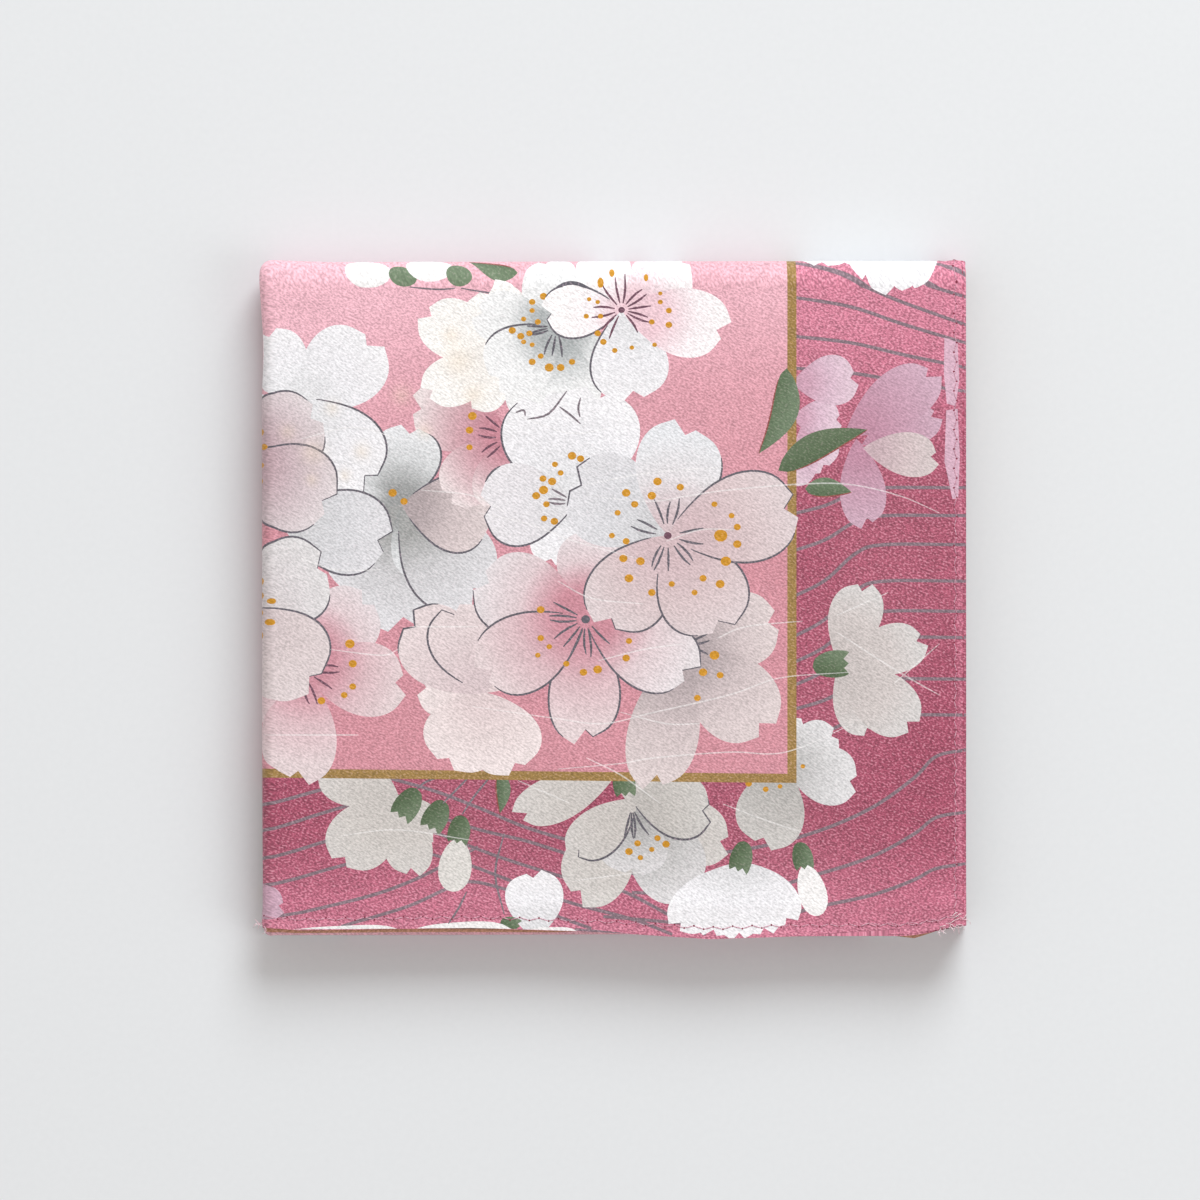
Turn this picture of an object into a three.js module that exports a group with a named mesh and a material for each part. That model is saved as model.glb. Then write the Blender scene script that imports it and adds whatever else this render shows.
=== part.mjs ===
// A square printed handkerchief, folded in half again and again into a flat, nearly square pack.
// Millimetres, +Z up. The origin is under the middle of the pack, on the surface that it lies on.
// The cloth's hemmed corner lies on top, at the right (+X) and near (-Y) edges. The last two folds
// make the rounded left (-X) and far (+Y) edges. Each layer here stands for two of the real cloth's.
import * as THREE from "three";

// The pack, as seen from above
const PACK_WIDTH = 123.7;
const PACK_DEPTH = 118.3;

// The cloth
const LAYER = 1.0; // thickness of a layer
const GAP = 0.25; // air between two layers
const NEAR_OVERHANG = 0.5; // how far the lower layers stand out past the near edge
const RIGHT_RECESS = 2.6; // how far the lower layers stop short of the right edge
const LAST_RECESS = 0.4; // how far the cloth's last edge stops short of its first

// How finely the cloth is divided: over a flat panel, round a wide bend and round a tight one
const PANEL_STEPS = 10;
const BEND_STEPS = 8;
const TIGHT_BEND_STEPS = 6;

// The near hem wanders: how far it stands out at each distance from the right-hand edge
const NEAR_HEM = [
  { across: 0, out: -1.9 },
  { across: 4.5, out: -0.7 },
  { across: 12, out: 0.25 },
  { across: 29, out: 0.35 },
  { across: 45, out: 0.85 },
  { across: 64, out: -0.35 },
  { across: 87, out: -1.1 },
  { across: 117, out: -0.7 },
  { across: 124, out: -1.2 },
];
const HIDDEN_HEM_WAVE = { out: 0.6, length: 70 };

// How the soft pack settles
const HEM_SQUEEZE = { share: 0.1, reach: 30 }; // it is thinner beside its hems
const CROWN = { share: 0.12, inset: 8 }; // and a little higher in its middle
const CORNER_PUFF = { out: 0.75, reach: 13 }; // the corner between the folds bulges
const LEFT_PINCH = { inward: 0.35, fromFar: 16, reach: 9 }; // a dent in the left edge beside it
const LOWER_TURN = 0.004; // the lower layers lie turned by this much, in radians
const CORNER_LIFT = { up: 0.55, reach: 17, power: 6 }; // the hemmed corner on top lifts off a little

// A fold turns what lies past a line under the rest. The slab is what it folds, of one or more layers.
function makeFold(along, edge, slab) {
  const outer = slab + GAP / 2;
  const bend = (slab + GAP) / 2;
  return { along, slab, bend, start: edge - outer, arc: Math.PI * bend };
}

const DOUBLE = 2 * LAYER + GAP;
const QUADRUPLE = 2 * DOUBLE + GAP;
const PACK_HEIGHT = 2 * QUADRUPLE + GAP;

// The last fold is at the far edge, and the one before it at the left edge.
const farFold = makeFold("up", PACK_DEPTH, QUADRUPLE);
const leftFold = makeFold("across", PACK_WIDTH, DOUBLE);
// The first fold comes back under the near edge once the last one is made.
const firstFold = makeFold("up", 2 * farFold.start + farFold.arc + NEAR_OVERHANG, LAYER);

// The cloth's own size, flat
const CLOTH_ACROSS = 2 * leftFold.start + leftFold.arc - RIGHT_RECESS;
const CLOTH_UP = 2 * firstFold.start + firstFold.arc - LAST_RECESS;

function smooth(value) {
  const t = Math.min(Math.max(value, 0), 1);
  return t * t * (3 - 2 * t);
}

// The share of a push that is felt this far from its middle
function falloff(distance, reach) {
  return smooth(1 - Math.abs(distance) / reach);
}

// How far the near hem stands out at a distance from the right-hand edge
function nearHemOut(across) {
  const last = NEAR_HEM[NEAR_HEM.length - 1];
  if (across >= last.across) {
    const turn = (2 * Math.PI * (across - last.across)) / HIDDEN_HEM_WAVE.length;
    return last.out + HIDDEN_HEM_WAVE.out * Math.sin(turn);
  }
  const next = NEAR_HEM.findIndex((row) => row.across > across);
  const [a, b] = [NEAR_HEM[next - 1], NEAR_HEM[next]];
  return a.out + (b.out - a.out) * smooth((across - a.across) / (b.across - a.across));
}

// Moves a point of the unfolded slab to where it is once the fold is made. The part that
// isn't turned under ends up on top, so it rises by a slab and a gap.
function foldUnder(point, fold) {
  const past = point[fold.along] - fold.start;
  if (past <= 0) {
    return { ...point, height: point.height + fold.slab + GAP };
  }
  const turned = Math.min(past / fold.bend, Math.PI);
  const radius = GAP / 2 + point.height;
  const beyond = past - turned * fold.bend;
  return {
    ...point,
    [fold.along]: fold.start + radius * Math.sin(turned) - beyond,
    height: fold.slab + GAP / 2 + radius * Math.cos(turned),
  };
}

// Moves a point of the neatly folded pack to where it is once the pack has settled
function settle({ across, up, height }) {
  const rise = height / PACK_HEIGHT;
  const fromLeft = PACK_WIDTH - across;
  const fromFar = PACK_DEPTH - up;
  const hem = Math.max(1 - smooth(across / HEM_SQUEEZE.reach), 1 - smooth(up / HEM_SQUEEZE.reach));
  const inside =
    smooth((fromLeft - CROWN.inset) / PACK_WIDTH) * smooth((fromFar - CROWN.inset) / PACK_DEPTH);
  const thickness = 1 - HEM_SQUEEZE.share * hem + CROWN.share * inside * (1 - inside);
  const puff = CORNER_PUFF.out * rise * falloff(Math.hypot(fromLeft, fromFar), CORNER_PUFF.reach);
  const pinch =
    LEFT_PINCH.inward *
    rise *
    falloff(fromFar - LEFT_PINCH.fromFar, LEFT_PINCH.reach) *
    falloff(fromLeft, LEFT_PINCH.reach);
  const cornerLift = CORNER_LIFT.up * falloff(Math.hypot(across, up), CORNER_LIFT.reach);
  const lift = cornerLift * rise ** CORNER_LIFT.power;
  const turn = LOWER_TURN * (1 - rise);
  const x = PACK_WIDTH / 2 - across - puff + pinch;
  const y = up - PACK_DEPTH / 2 + puff;
  return new THREE.Vector3(x - turn * y, y + turn * x, height * thickness + lift);
}

// Where a point of the flat cloth lies in the pack. Height is 0 on the cloth's wrong side and
// LAYER on its printed side.
function placeOf(across, up, height) {
  const out = nearHemOut(across) * (1 - smooth(up / HEM_SQUEEZE.reach));
  let point = { across, up: up - out, height };
  for (const fold of [firstFold, leftFold, farFold]) {
    point = foldUnder(point, fold);
  }
  return settle(point);
}

// Evenly spaced stations from one distance to another, without the first
function stretch(from, to, steps) {
  return Array.from({ length: steps }, (_, i) => from + ((to - from) * (i + 1)) / steps);
}

// Stations across the cloth, close together only where the left fold bends it
const bentAcross = leftFold.start + leftFold.arc;
const acrossStations = [
  0,
  ...stretch(0, leftFold.start, PANEL_STEPS),
  ...stretch(leftFold.start, bentAcross, BEND_STEPS),
  ...stretch(bentAcross, CLOTH_ACROSS, PANEL_STEPS),
];

// Stations up the cloth. The last fold bends it twice, because the first fold has doubled it.
const firstBent = firstFold.start + firstFold.arc;
const farBent = farFold.start + farFold.arc;
const mirror = (up) => firstFold.start + firstBent - up;
const upStations = [
  0,
  ...stretch(0, farFold.start, PANEL_STEPS),
  ...stretch(farFold.start, farBent, BEND_STEPS),
  ...stretch(farBent, firstFold.start, PANEL_STEPS),
  ...stretch(firstFold.start, firstBent, TIGHT_BEND_STEPS),
  ...stretch(firstBent, mirror(farBent), PANEL_STEPS),
  ...stretch(mirror(farBent), mirror(farFold.start), BEND_STEPS),
  ...stretch(mirror(farFold.start), CLOTH_UP, PANEL_STEPS),
];

// A closed sheet: the printed side, the wrong side, and the cut edge that joins them
function foldedSheet() {
  const columns = acrossStations.length;
  const rows = upStations.length;
  const positions = [];
  for (const height of [LAYER, 0]) {
    for (const up of upStations) {
      for (const across of acrossStations) {
        positions.push(...placeOf(across, up, height).toArray());
      }
    }
  }
  const printed = (column, row) => row * columns + column;
  const wrong = (column, row) => rows * columns + printed(column, row);
  const triangles = [];
  const quad = (a, b, c, d) => triangles.push(a, b, c, a, c, d);

  for (let row = 0; row < rows - 1; row++) {
    for (let column = 0; column < columns - 1; column++) {
      const corners = [
        [column, row],
        [column, row + 1],
        [column + 1, row + 1],
        [column + 1, row],
      ];
      quad(...corners.map(([c, r]) => printed(c, r)));
      quad(...corners.reverse().map(([c, r]) => wrong(c, r)));
    }
  }

  // The edge, walked round the cloth in one direction
  const walk = [];
  for (let column = 0; column < columns - 1; column++) walk.push([column, 0]);
  for (let row = 0; row < rows - 1; row++) walk.push([columns - 1, row]);
  for (let column = columns - 1; column > 0; column--) walk.push([column, rows - 1]);
  for (let row = rows - 1; row > 0; row--) walk.push([0, row]);
  walk.forEach((here, i) => {
    const next = walk[(i + 1) % walk.length];
    quad(printed(...here), printed(...next), wrong(...next), wrong(...here));
  });

  const geometry = new THREE.BufferGeometry();
  geometry.setAttribute("position", new THREE.Float32BufferAttribute(positions, 3));
  geometry.setIndex(triangles);
  geometry.computeVertexNormals();

  // The hems wander and the corner bulges, so the middle is found from the finished shape
  geometry.computeBoundingBox();
  const middle = geometry.boundingBox.getCenter(new THREE.Vector3());
  geometry.translate(-middle.x, -middle.y, 0);
  return geometry;
}

const printedCotton = new THREE.MeshStandardMaterial({
  color: new THREE.Color(0.86, 0.55, 0.64),
  roughness: 0.85,
  metalness: 0,
});

const handkerchief = new THREE.Mesh(foldedSheet(), printedCotton);
handkerchief.name = "handkerchief";

const foldedHandkerchief = new THREE.Group();
foldedHandkerchief.add(handkerchief);

export default foldedHandkerchief;
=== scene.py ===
# A square printed cotton handkerchief, folded in half four times and seen from straight above.
#
# The flat cloth is measured in millimetres. x runs to the right from the pack's left edge and y
# runs away from the near hem, so what shows on top lies between x = 0 and PACK_WIDTH and between
# y = 0 and PACK_DEPTH. The rest of the cloth goes on to the left of that and beyond it.
import math
from collections import namedtuple

import bpy
import numpy as np
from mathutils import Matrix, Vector
from mathutils.geometry import delaunay_2d_cdt
from mathutils.kdtree import KDTree


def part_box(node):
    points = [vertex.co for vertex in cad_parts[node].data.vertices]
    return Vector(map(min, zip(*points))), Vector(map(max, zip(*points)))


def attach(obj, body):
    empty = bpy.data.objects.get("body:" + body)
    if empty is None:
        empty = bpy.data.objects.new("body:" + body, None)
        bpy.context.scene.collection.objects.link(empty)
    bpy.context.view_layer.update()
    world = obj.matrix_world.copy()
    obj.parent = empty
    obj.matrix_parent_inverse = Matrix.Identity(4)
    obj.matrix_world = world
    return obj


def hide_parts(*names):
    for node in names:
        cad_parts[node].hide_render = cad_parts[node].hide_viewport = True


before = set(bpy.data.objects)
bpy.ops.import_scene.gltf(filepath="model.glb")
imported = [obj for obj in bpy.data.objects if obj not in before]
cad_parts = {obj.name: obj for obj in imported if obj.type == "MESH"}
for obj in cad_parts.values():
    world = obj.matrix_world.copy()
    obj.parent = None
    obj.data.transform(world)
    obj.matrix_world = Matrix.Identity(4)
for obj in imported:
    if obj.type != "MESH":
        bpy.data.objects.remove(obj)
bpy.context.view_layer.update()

MM = 0.001
NODE = "handkerchief"
CAD_LOW, CAD_HIGH = (Vector(corner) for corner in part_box(NODE))

# The pack, in millimetres. The far fold stands up to PACK_DEPTH and the left one to PACK_WIDTH
PACK_WIDTH = 123.7
PACK_DEPTH = 118.3
LAYERS = 16
CLOTH = 0.25
GAP = 0.36
NEAR_OVERHANG = 0.3
RIGHT_RECESS = 2.6
HEM_WIDTH = 2.9
HEM_RISE = 0.14

# The frame printed inside the hem
FRAME_WIDTH = 1.6
FRAME_FROM_RIGHT = 31.4
FRAME_FROM_NEAR = 29.1


# Camera


def add_object(name, data):
    made = bpy.data.objects.new(name, data)
    bpy.context.scene.collection.objects.link(made)
    return made


def add_camera():
    """Looks straight down. The picture's middle lies a little left of the pack's."""
    height = 1.5
    picture_width = 0.2106
    picture_middle = (-0.0023, -0.0002)
    data = bpy.data.cameras.new("camera")
    data.sensor_width = 36.0
    data.lens = data.sensor_width * (height - CAD_HIGH.z) / picture_width
    data.clip_start = 0.01
    camera = add_object("camera", data)
    camera.location = (*picture_middle, height)
    bpy.context.scene.camera = camera


# Folds

# Which way it folds, how thick the folded slab is, the bend's radius, where the bend starts,
# how much cloth goes round it, and in how many steps
Fold = namedtuple("Fold", "along slab bend start arc steps")


def make_fold(along, edge, layers, steps):
    """A fold of a slab of so many layers, whose outside reaches edge."""
    slab = layers * CLOTH + (layers - 1) * GAP
    bend = (slab + GAP) / 2
    return Fold(along, slab, bend, edge - slab - GAP / 2, math.pi * bend, steps)


FAR_FOLD = make_fold("up", PACK_DEPTH, LAYERS // 2, 14)
LEFT_FOLD = make_fold("across", PACK_WIDTH, LAYERS // 4, 10)
NEAR_FOLD = make_fold("up", 2 * FAR_FOLD.start + FAR_FOLD.arc + NEAR_OVERHANG, LAYERS // 8, 8)
RIGHT_FOLD = make_fold("across", 2 * LEFT_FOLD.start + LEFT_FOLD.arc - RIGHT_RECESS, 1, 6)
FOLDS = [RIGHT_FOLD, NEAR_FOLD, LEFT_FOLD, FAR_FOLD]

CLOTH_ACROSS = 2 * RIGHT_FOLD.start + RIGHT_FOLD.arc
CLOTH_UP = 2 * NEAR_FOLD.start + NEAR_FOLD.arc
PACK_HEIGHT = LAYERS * CLOTH + (LAYERS - 1) * GAP


def smooth(value):
    t = np.clip(value, 0, 1)
    return t * t * (3 - 2 * t)


def falloff(distance, reach):
    return smooth(1 - np.abs(distance) / reach)


def fold_under(point, fold):
    """Turns what lies past the fold's start under the rest, which rises by a slab and a gap."""
    past = point[fold.along] - fold.start
    bent = np.clip(past / fold.bend, 0, math.pi)
    beyond = np.maximum(past - fold.arc, 0)
    radius = GAP / 2 + point["height"]
    folded = dict(point)
    folded[fold.along] = fold.start + np.minimum(past, 0) + radius * np.sin(bent) - beyond
    folded["height"] = fold.slab + GAP / 2 + radius * np.cos(bent)
    return folded


# How far the near hem stands out, at distances from the right-hand edge
TOP_HEM = {
    "across": (0, 4.5, 12, 29, 45, 64, 87, 117, 124),
    "out": (-0.3, 0.1, 0.3, 0.35, 0.85, -0.35, -1.1, -0.7, -1.2),
}
LOWER_HEM = {
    "across": (0, 1.5, 4, 8, 10.5, 22, 60, 70, 95, 118, 124),
    "out": (-0.9, 0.6, 1.5, 1.3, 0.3, -0.6, -0.8, -0.25, -0.35, -0.15, -0.5),
}
# The hidden quarters' hem waves, lies further in, most of all at the fold, and blends into the seen
HIDDEN_HEM = {"wave": 0.5, "length": 70, "inward": 0.8, "at_fold": 1.3, "fold_reach": 24, "blend": 8}
HEM_REACH = 30
# The cloth's far hem, folded back under the near one, stops this far short of it
FAR_HEM_IN = 1.6


def near_hem_out(across):
    """The top quarter and the one just under it, at the other end of the cloth, are the two seen."""
    top = np.interp(across, TOP_HEM["across"], TOP_HEM["out"])
    lower = np.interp(CLOTH_ACROSS - across, LOWER_HEM["across"], LOWER_HEM["out"])
    shown = np.where(across < CLOTH_ACROSS / 2, top, lower)
    wave = HIDDEN_HEM["wave"] * np.sin(2 * math.pi * across / HIDDEN_HEM["length"])
    wave = wave - HIDDEN_HEM["inward"]
    at_fold = falloff(across - CLOTH_ACROSS / 2, HIDDEN_HEM["fold_reach"])
    wave = wave - HIDDEN_HEM["at_fold"] * at_fold
    quarter = CLOTH_ACROSS / 4
    hidden = smooth((across - quarter) / HIDDEN_HEM["blend"])
    hidden = hidden * smooth((3 * quarter - across) / HIDDEN_HEM["blend"])
    return shown + (wave - shown) * hidden


# Soft troughs and ridges in the top layers: from where to where, how far up, and how wide
CREASES = [
    (2.5, 99, 8, 107, -0.35, 3.0),
    (8, 112, 34, 113, 0.18, 4.0),
    (3.5, 20, 4.5, 88, 0.14, 3.5),
    (14, 42, 30, 72, -0.10, 7.0),
    (48, 12, 96, 15, -0.12, 6.0),
    (70, 22, 112, 30, 0.10, 7.0),
    (96, 40, 104, 96, -0.12, 5.0),
    (60, 98, 92, 104, 0.12, 7.0),
    (26, 86, 58, 96, 0.10, 8.0),
    (112, 8, 119, 4, 0.25, 3.5),
]
CREASE_END = 1.6  # how much further a crease fades out along itself than across
# The edges of the layers below show through as faint ridges beside the open sides
UNDER_RIDGE = {"inset": 5.2, "up": 0.10, "width": 1.5}
HEM_STACK = {"up": 0.42, "inset": 2.6, "width": 4.2}


def crease_height(x, y):
    height = np.zeros_like(x)
    for x0, y0, x1, y1, up, width in CREASES:
        run_x, run_y = x1 - x0, y1 - y0
        length = np.hypot(run_x, run_y)
        along = ((x - x0) * run_x + (y - y0) * run_y) / length
        off = ((x - x0) * run_y - (y - y0) * run_x) / length
        past = np.maximum(np.maximum(-along, along - length), 0)
        fade = (off / width) ** 2 + (past / (CREASE_END * width)) ** 2
        height += up * np.exp(-fade)
    for inset, hem_share in ((PACK_WIDTH - x, 0.5), (y, 1.0)):
        offset = (inset - UNDER_RIDGE["inset"]) / UNDER_RIDGE["width"]
        height += UNDER_RIDGE["up"] * np.exp(-(offset**2))
        offset = np.maximum(inset - HEM_STACK["inset"], 0) / HEM_STACK["width"]
        height += hem_share * HEM_STACK["up"] * np.exp(-(offset**2))
    return height


# Slow and quick unevenness of the soft pack: how high, how long, at what angle, and its phase
WAVES = [
    (0.16, 61, 0.35, 0.4),
    (0.13, 43, 1.95, 2.1),
    (0.06, 23, 2.70, 4.0),
    (0.045, 17, 1.10, 1.2),
    (0.02, 9.5, 0.15, 3.3),
    (0.018, 7.3, 1.72, 0.9),
]


def wave_height(x, y):
    height = np.zeros_like(x)
    for up, length, angle, phase in WAVES:
        along = x * math.cos(angle) + y * math.sin(angle)
        height += up * np.sin(2 * math.pi * along / length + phase)
    return height


# How the settled pack differs from a neat one: flatter at the hems, fuller in the middle, puffed
# at the far left corner, pinched at the left fold, lifted and dented at the hemmed corner, and with
# its lower layers turned a little
HEM_SQUEEZE = {"share": 0.10, "reach": 30}
CROWN = {"share": 0.12, "inset": 8}
CORNER_PUFF = {"out": 0.75, "reach": 13}
LEFT_PINCH = {"inward": 0.35, "from_far": 16, "reach": 9}
CORNER_LIFT = {"up": 0.5, "reach": 17, "power": 6}
CORNER_DENT = {"inward": 1.3, "reach": 11}
LOWER_TURN = 0.004
TOP_LAYERS_POWER = 2.5
# The layers' spread and wander at their open edges: by how much, and how fast they change from
# layer to layer and along the edges
LAYER_WANDER = {"out": 0.22, "up": 0.10, "reach": 22}
SPREAD_RATES = (2.6, 1.7)
SPREAD_LENGTHS = (13, 17)
WANDER_RATES = (3.3, 5.1)
WANDER_START = 1.3


def settle(point):
    """Moves the neatly folded pack's points to where they are once it has settled."""
    across, up, height = point["across"], point["up"], point["height"]
    rise = np.clip(height / PACK_HEIGHT, 0, 1)
    from_left = PACK_WIDTH - across
    from_far = PACK_DEPTH - up
    hem = 1 - np.minimum(smooth(across / HEM_SQUEEZE["reach"]), smooth(up / HEM_SQUEEZE["reach"]))
    inside = smooth((from_left - CROWN["inset"]) / PACK_WIDTH)
    inside = inside * smooth((from_far - CROWN["inset"]) / PACK_DEPTH)
    thickness = 1 - HEM_SQUEEZE["share"] * hem + CROWN["share"] * inside * (1 - inside)
    corner = np.hypot(from_left, from_far)
    puff = CORNER_PUFF["out"] * rise * falloff(corner, CORNER_PUFF["reach"])
    pinch = LEFT_PINCH["inward"] * rise * falloff(from_left, LEFT_PINCH["reach"])
    pinch = pinch * falloff(from_far - LEFT_PINCH["from_far"], LEFT_PINCH["reach"])
    hemmed_corner = np.hypot(across, up)
    lift = CORNER_LIFT["up"] * rise ** CORNER_LIFT["power"]
    lift = lift * falloff(hemmed_corner, CORNER_LIFT["reach"])
    dent = CORNER_DENT["inward"] * falloff(hemmed_corner, CORNER_DENT["reach"])

    # The layers spread a little unevenly at their open edges
    open_side = 1 - smooth(np.minimum(across, up) / LAYER_WANDER["reach"])
    level = 2 * math.pi * rise
    sway = np.sin(SPREAD_RATES[0] * level + across / SPREAD_LENGTHS[0])
    sway = sway * np.sin(SPREAD_RATES[1] * level + up / SPREAD_LENGTHS[1])
    between = np.sin(math.pi * rise)
    spread = LAYER_WANDER["up"] * sway * open_side * between
    wander = LAYER_WANDER["out"] * np.sin(WANDER_RATES[0] * level + WANDER_START)
    wander = wander * np.sin(WANDER_RATES[1] * level) * open_side * between

    uneven = (crease_height(from_left, up) + wave_height(from_left, up)) * rise**TOP_LAYERS_POWER
    turn = LOWER_TURN * (1 - rise)
    x = PACK_WIDTH / 2 - across - puff + pinch + wander
    y = up - PACK_DEPTH / 2 + puff - wander + dent
    z = height * thickness + lift + spread + uneven
    return np.stack([x - turn * y, y + turn * x, z], axis=-1)


MIDDLE = (CAD_LOW + CAD_HIGH) / 2 / MM
# The settled pack's own middle, which the wandering hems put a little left and near
OWN_MIDDLE = Vector((-0.14, -0.26, 0))
# The hem of the lowest layer stands a little below the cloth beside it
REST_RISE = 0.25


def place(x, y, height):
    """Where points of the flat cloth lie in the pack, in metres. Height is 0 on the wrong side."""
    across = PACK_WIDTH - x
    out = near_hem_out(across) * (1 - smooth(y / HEM_REACH))
    inward = FAR_HEM_IN * smooth(1 - (CLOTH_UP - y) / HEM_REACH)
    point = {"across": across, "up": y - out - inward, "height": height}
    for fold in FOLDS:
        point = fold_under(point, fold)
    settled = settle(point)
    settled += (MIDDLE.x - OWN_MIDDLE.x, MIDDLE.y - OWN_MIDDLE.y, REST_RISE)
    return settled * MM


def normals_of(x, y, height):
    """The printed side's normals, from how places change over the cloth."""
    step = 0.02
    along_x = place(x + step, y, height) - place(x - step, y, height)
    along_y = place(x, y + step, height) - place(x, y - step, height)
    normal = np.cross(along_x, along_y)
    return normal / np.linalg.norm(normal, axis=1, keepdims=True)


# The hem's relief

STITCH = 1.7
STITCH_FROM_EDGE = 1.9
STITCH_SWING = 0.24
HEM_RAMP = 0.5
# How far the stitches pull the hem in, over what width, and how much of that lies between them
STITCH_PULL = {"depth": 0.05, "width": 0.55, "between": 0.4}


def from_edge(x, y):
    """Distances from the cloth's right, left, near and far edges."""
    across = PACK_WIDTH - x
    return across, CLOTH_ACROSS - across, y, CLOTH_UP - y


def hem_relief(x, y):
    """A turned hem is thicker than the cloth, and its stitches pull it in."""
    right, left, near, far = from_edge(x, y)
    edge = np.minimum(np.minimum(right, left), np.minimum(near, far))
    step_down = smooth((HEM_WIDTH + HEM_RAMP / 2 - edge) / HEM_RAMP)
    roll_off = smooth(edge / HEM_RAMP)
    relief = HEM_RISE * step_down * roll_off
    along = np.where(np.minimum(right, left) < np.minimum(near, far), y, x)
    pull = STITCH_PULL["between"] + 0.5 - 0.5 * np.cos(2 * math.pi * along / STITCH)
    line = np.exp(-(((edge - STITCH_FROM_EDGE) / STITCH_PULL["width"]) ** 2))
    return relief - STITCH_PULL["depth"] * line * pull


# Colours, as they look in sRGB from 0 to 255

FIELD = (209, 144, 156)
FIELD_PALE = (238, 186, 199)
BORDER = (172, 90, 112)
BORDER_DEEP = (166, 80, 104)
BORDER_PALE = (216, 136, 159)
RUST = (186, 108, 62)
GOLD = (160, 128, 74)
FLOW_GREY = (134, 114, 124)
INK = (99, 96, 105)
INK_SOFT = (126, 116, 124)
INK_ROSE = (112, 76, 92)
WHITE = (243, 241, 241)
LEAF = (112, 130, 104)
LEAF_DARK = (80, 100, 70)
LEAF_DUSK = (98, 115, 88)
LEAF_EDGE = (146, 78, 72)
OCHRE = (206, 146, 34)
STAIN = (232, 212, 188)
HOLE_SHADE = (128, 34, 60)
HOLE_SOFT = (158, 62, 88)

# How strongly the woven grain shows through each print
GRAIN = {"border": 1.0, "field": 0.6, "motif": 0.36, "line": 0.6}


def linear(colour):
    c = np.asarray(colour, float) / 255
    return np.where(c <= 0.04045, c / 12.92, ((c + 0.055) / 1.055) ** 2.4)


def mix(a, b, share):
    share = np.asarray(share)[..., None]
    return np.asarray(a, float) * (1 - share) + np.asarray(b, float) * share


def flat_paint(colour, grain="motif"):
    def paint(points):
        return np.broadcast_to(np.asarray(colour, float), (len(points), 3)), GRAIN[grain]

    return paint


def ring_paint(centre, stops):
    """Colours that change with the distance from a centre: stops are (distance, colour)."""
    reaches = [distance for distance, _ in stops]
    channels = np.asarray([colour for _, colour in stops], float)

    def paint(points):
        distance = np.hypot(points[:, 0] - centre[0], points[:, 1] - centre[1])
        shades = [np.interp(distance, reaches, channels[:, i]) for i in range(3)]
        return np.stack(shades, axis=-1), GRAIN["motif"]

    return paint


def slope_paint(start, end, first, last):
    """Colours that change evenly from one place to another."""
    run = np.subtract(end, start)

    def paint(points):
        share = ((points - np.asarray(start)) @ run) / (run @ run)
        return mix(first, last, smooth(share)), GRAIN["motif"]

    return paint


# Shapes of the print

printed = []  # (outline, paint), each over the ones before


def points_from(x, y):
    return np.stack([x, y], axis=-1)


def anticlockwise(outline):
    outline = np.asarray(outline, float)
    x, y = outline.T
    clockwise = np.sum(x * np.roll(y, -1) - np.roll(x, -1) * y) < 0
    return outline[::-1] if clockwise else outline


def add_shape(outline, paint):
    printed.append((anticlockwise(outline), paint))


def turned(points, centre, angle):
    """Points turned about the origin and then moved to a centre."""
    c, s = math.cos(math.radians(angle)), math.sin(math.radians(angle))
    points = np.asarray(points)
    x = centre[0] + points[:, 0] * c - points[:, 1] * s
    y = centre[1] + points[:, 0] * s + points[:, 1] * c
    return points_from(x, y)


def curve_through(points, per_span=8):
    """A smooth curve through a few points."""
    p = np.asarray(points, float)
    p = np.vstack([2 * p[0] - p[1], p, 2 * p[-1] - p[-2]])
    t = np.linspace(0, 1, per_span, endpoint=False)[:, None]
    spans = []
    for a, b, c, d in zip(p, p[1:], p[2:], p[3:]):
        cubic = (3 * (b - c) + d - a) * t**3
        square = (2 * a - 5 * b + 4 * c - d) * t**2
        spans.append(0.5 * (cubic + square + (c - a) * t) + b)
    return np.vstack(spans + [p[-2:-1]])


BRUSH_TAPER = 0.55


def stroke_outline(points, width, taper=BRUSH_TAPER):
    """The outline of a brush line along some points. It thins by its taper towards both ends."""
    points = np.asarray(points, float)
    run = np.gradient(points, axis=0)
    run /= np.linalg.norm(run, axis=1, keepdims=True) + 1e-9
    side = points_from(-run[:, 1], run[:, 0])
    t = np.linspace(-1, 1, len(points))
    half = (width / 2 * (1 - taper * np.abs(t) ** 3))[:, None]
    return anticlockwise(np.vstack([points + side * half, (points - side * half)[::-1]]))


def add_stroke(points, width, colour, taper=BRUSH_TAPER):
    add_shape(stroke_outline(points, width, taper), flat_paint(colour, "line"))


DOT_SIDES = 10
DOT_SQUASH = 0.92


def add_dot(x, y, radius, colour):
    angle = np.linspace(0, 2 * math.pi, DOT_SIDES + 1)[:-1]
    outline = points_from(x + radius * np.cos(angle), y + DOT_SQUASH * radius * np.sin(angle))
    add_shape(outline, flat_paint(colour))


# Half of a petal, along it and away from its axis: a wedge that rounds to one lobe of its tip
PETAL = [(0, 0), (0.1, 0.3), (0.25, 0.62), (0.42, 0.88)]
PETAL += [(0.6, 1.0), (0.77, 0.94), (0.9, 0.7), (0.985, 0.26)]
NOTCH = 0.895
OUTLINE_WIDTH = 0.37
STAMEN_WIDTH = 0.42
# How far along a petal its colour at the heart starts and ends, and its middle and tip are reached
SHADE_REACHES = (0, 0.24, 0.58, 0.95)


def petal_outline(length, width, skew=0.0):
    """A petal from the origin along +x, with a notch in its tip. Its width is a share of its length."""
    along, away = curve_through(PETAL, 3).T
    away = 0.5 * width * away
    lower = points_from(along * (1 + skew * along), -away)
    upper = points_from(along * (1 - skew * along), away)
    return length * np.vstack([lower, [(NOTCH, 0.4 * skew)], upper[:0:-1]])


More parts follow.
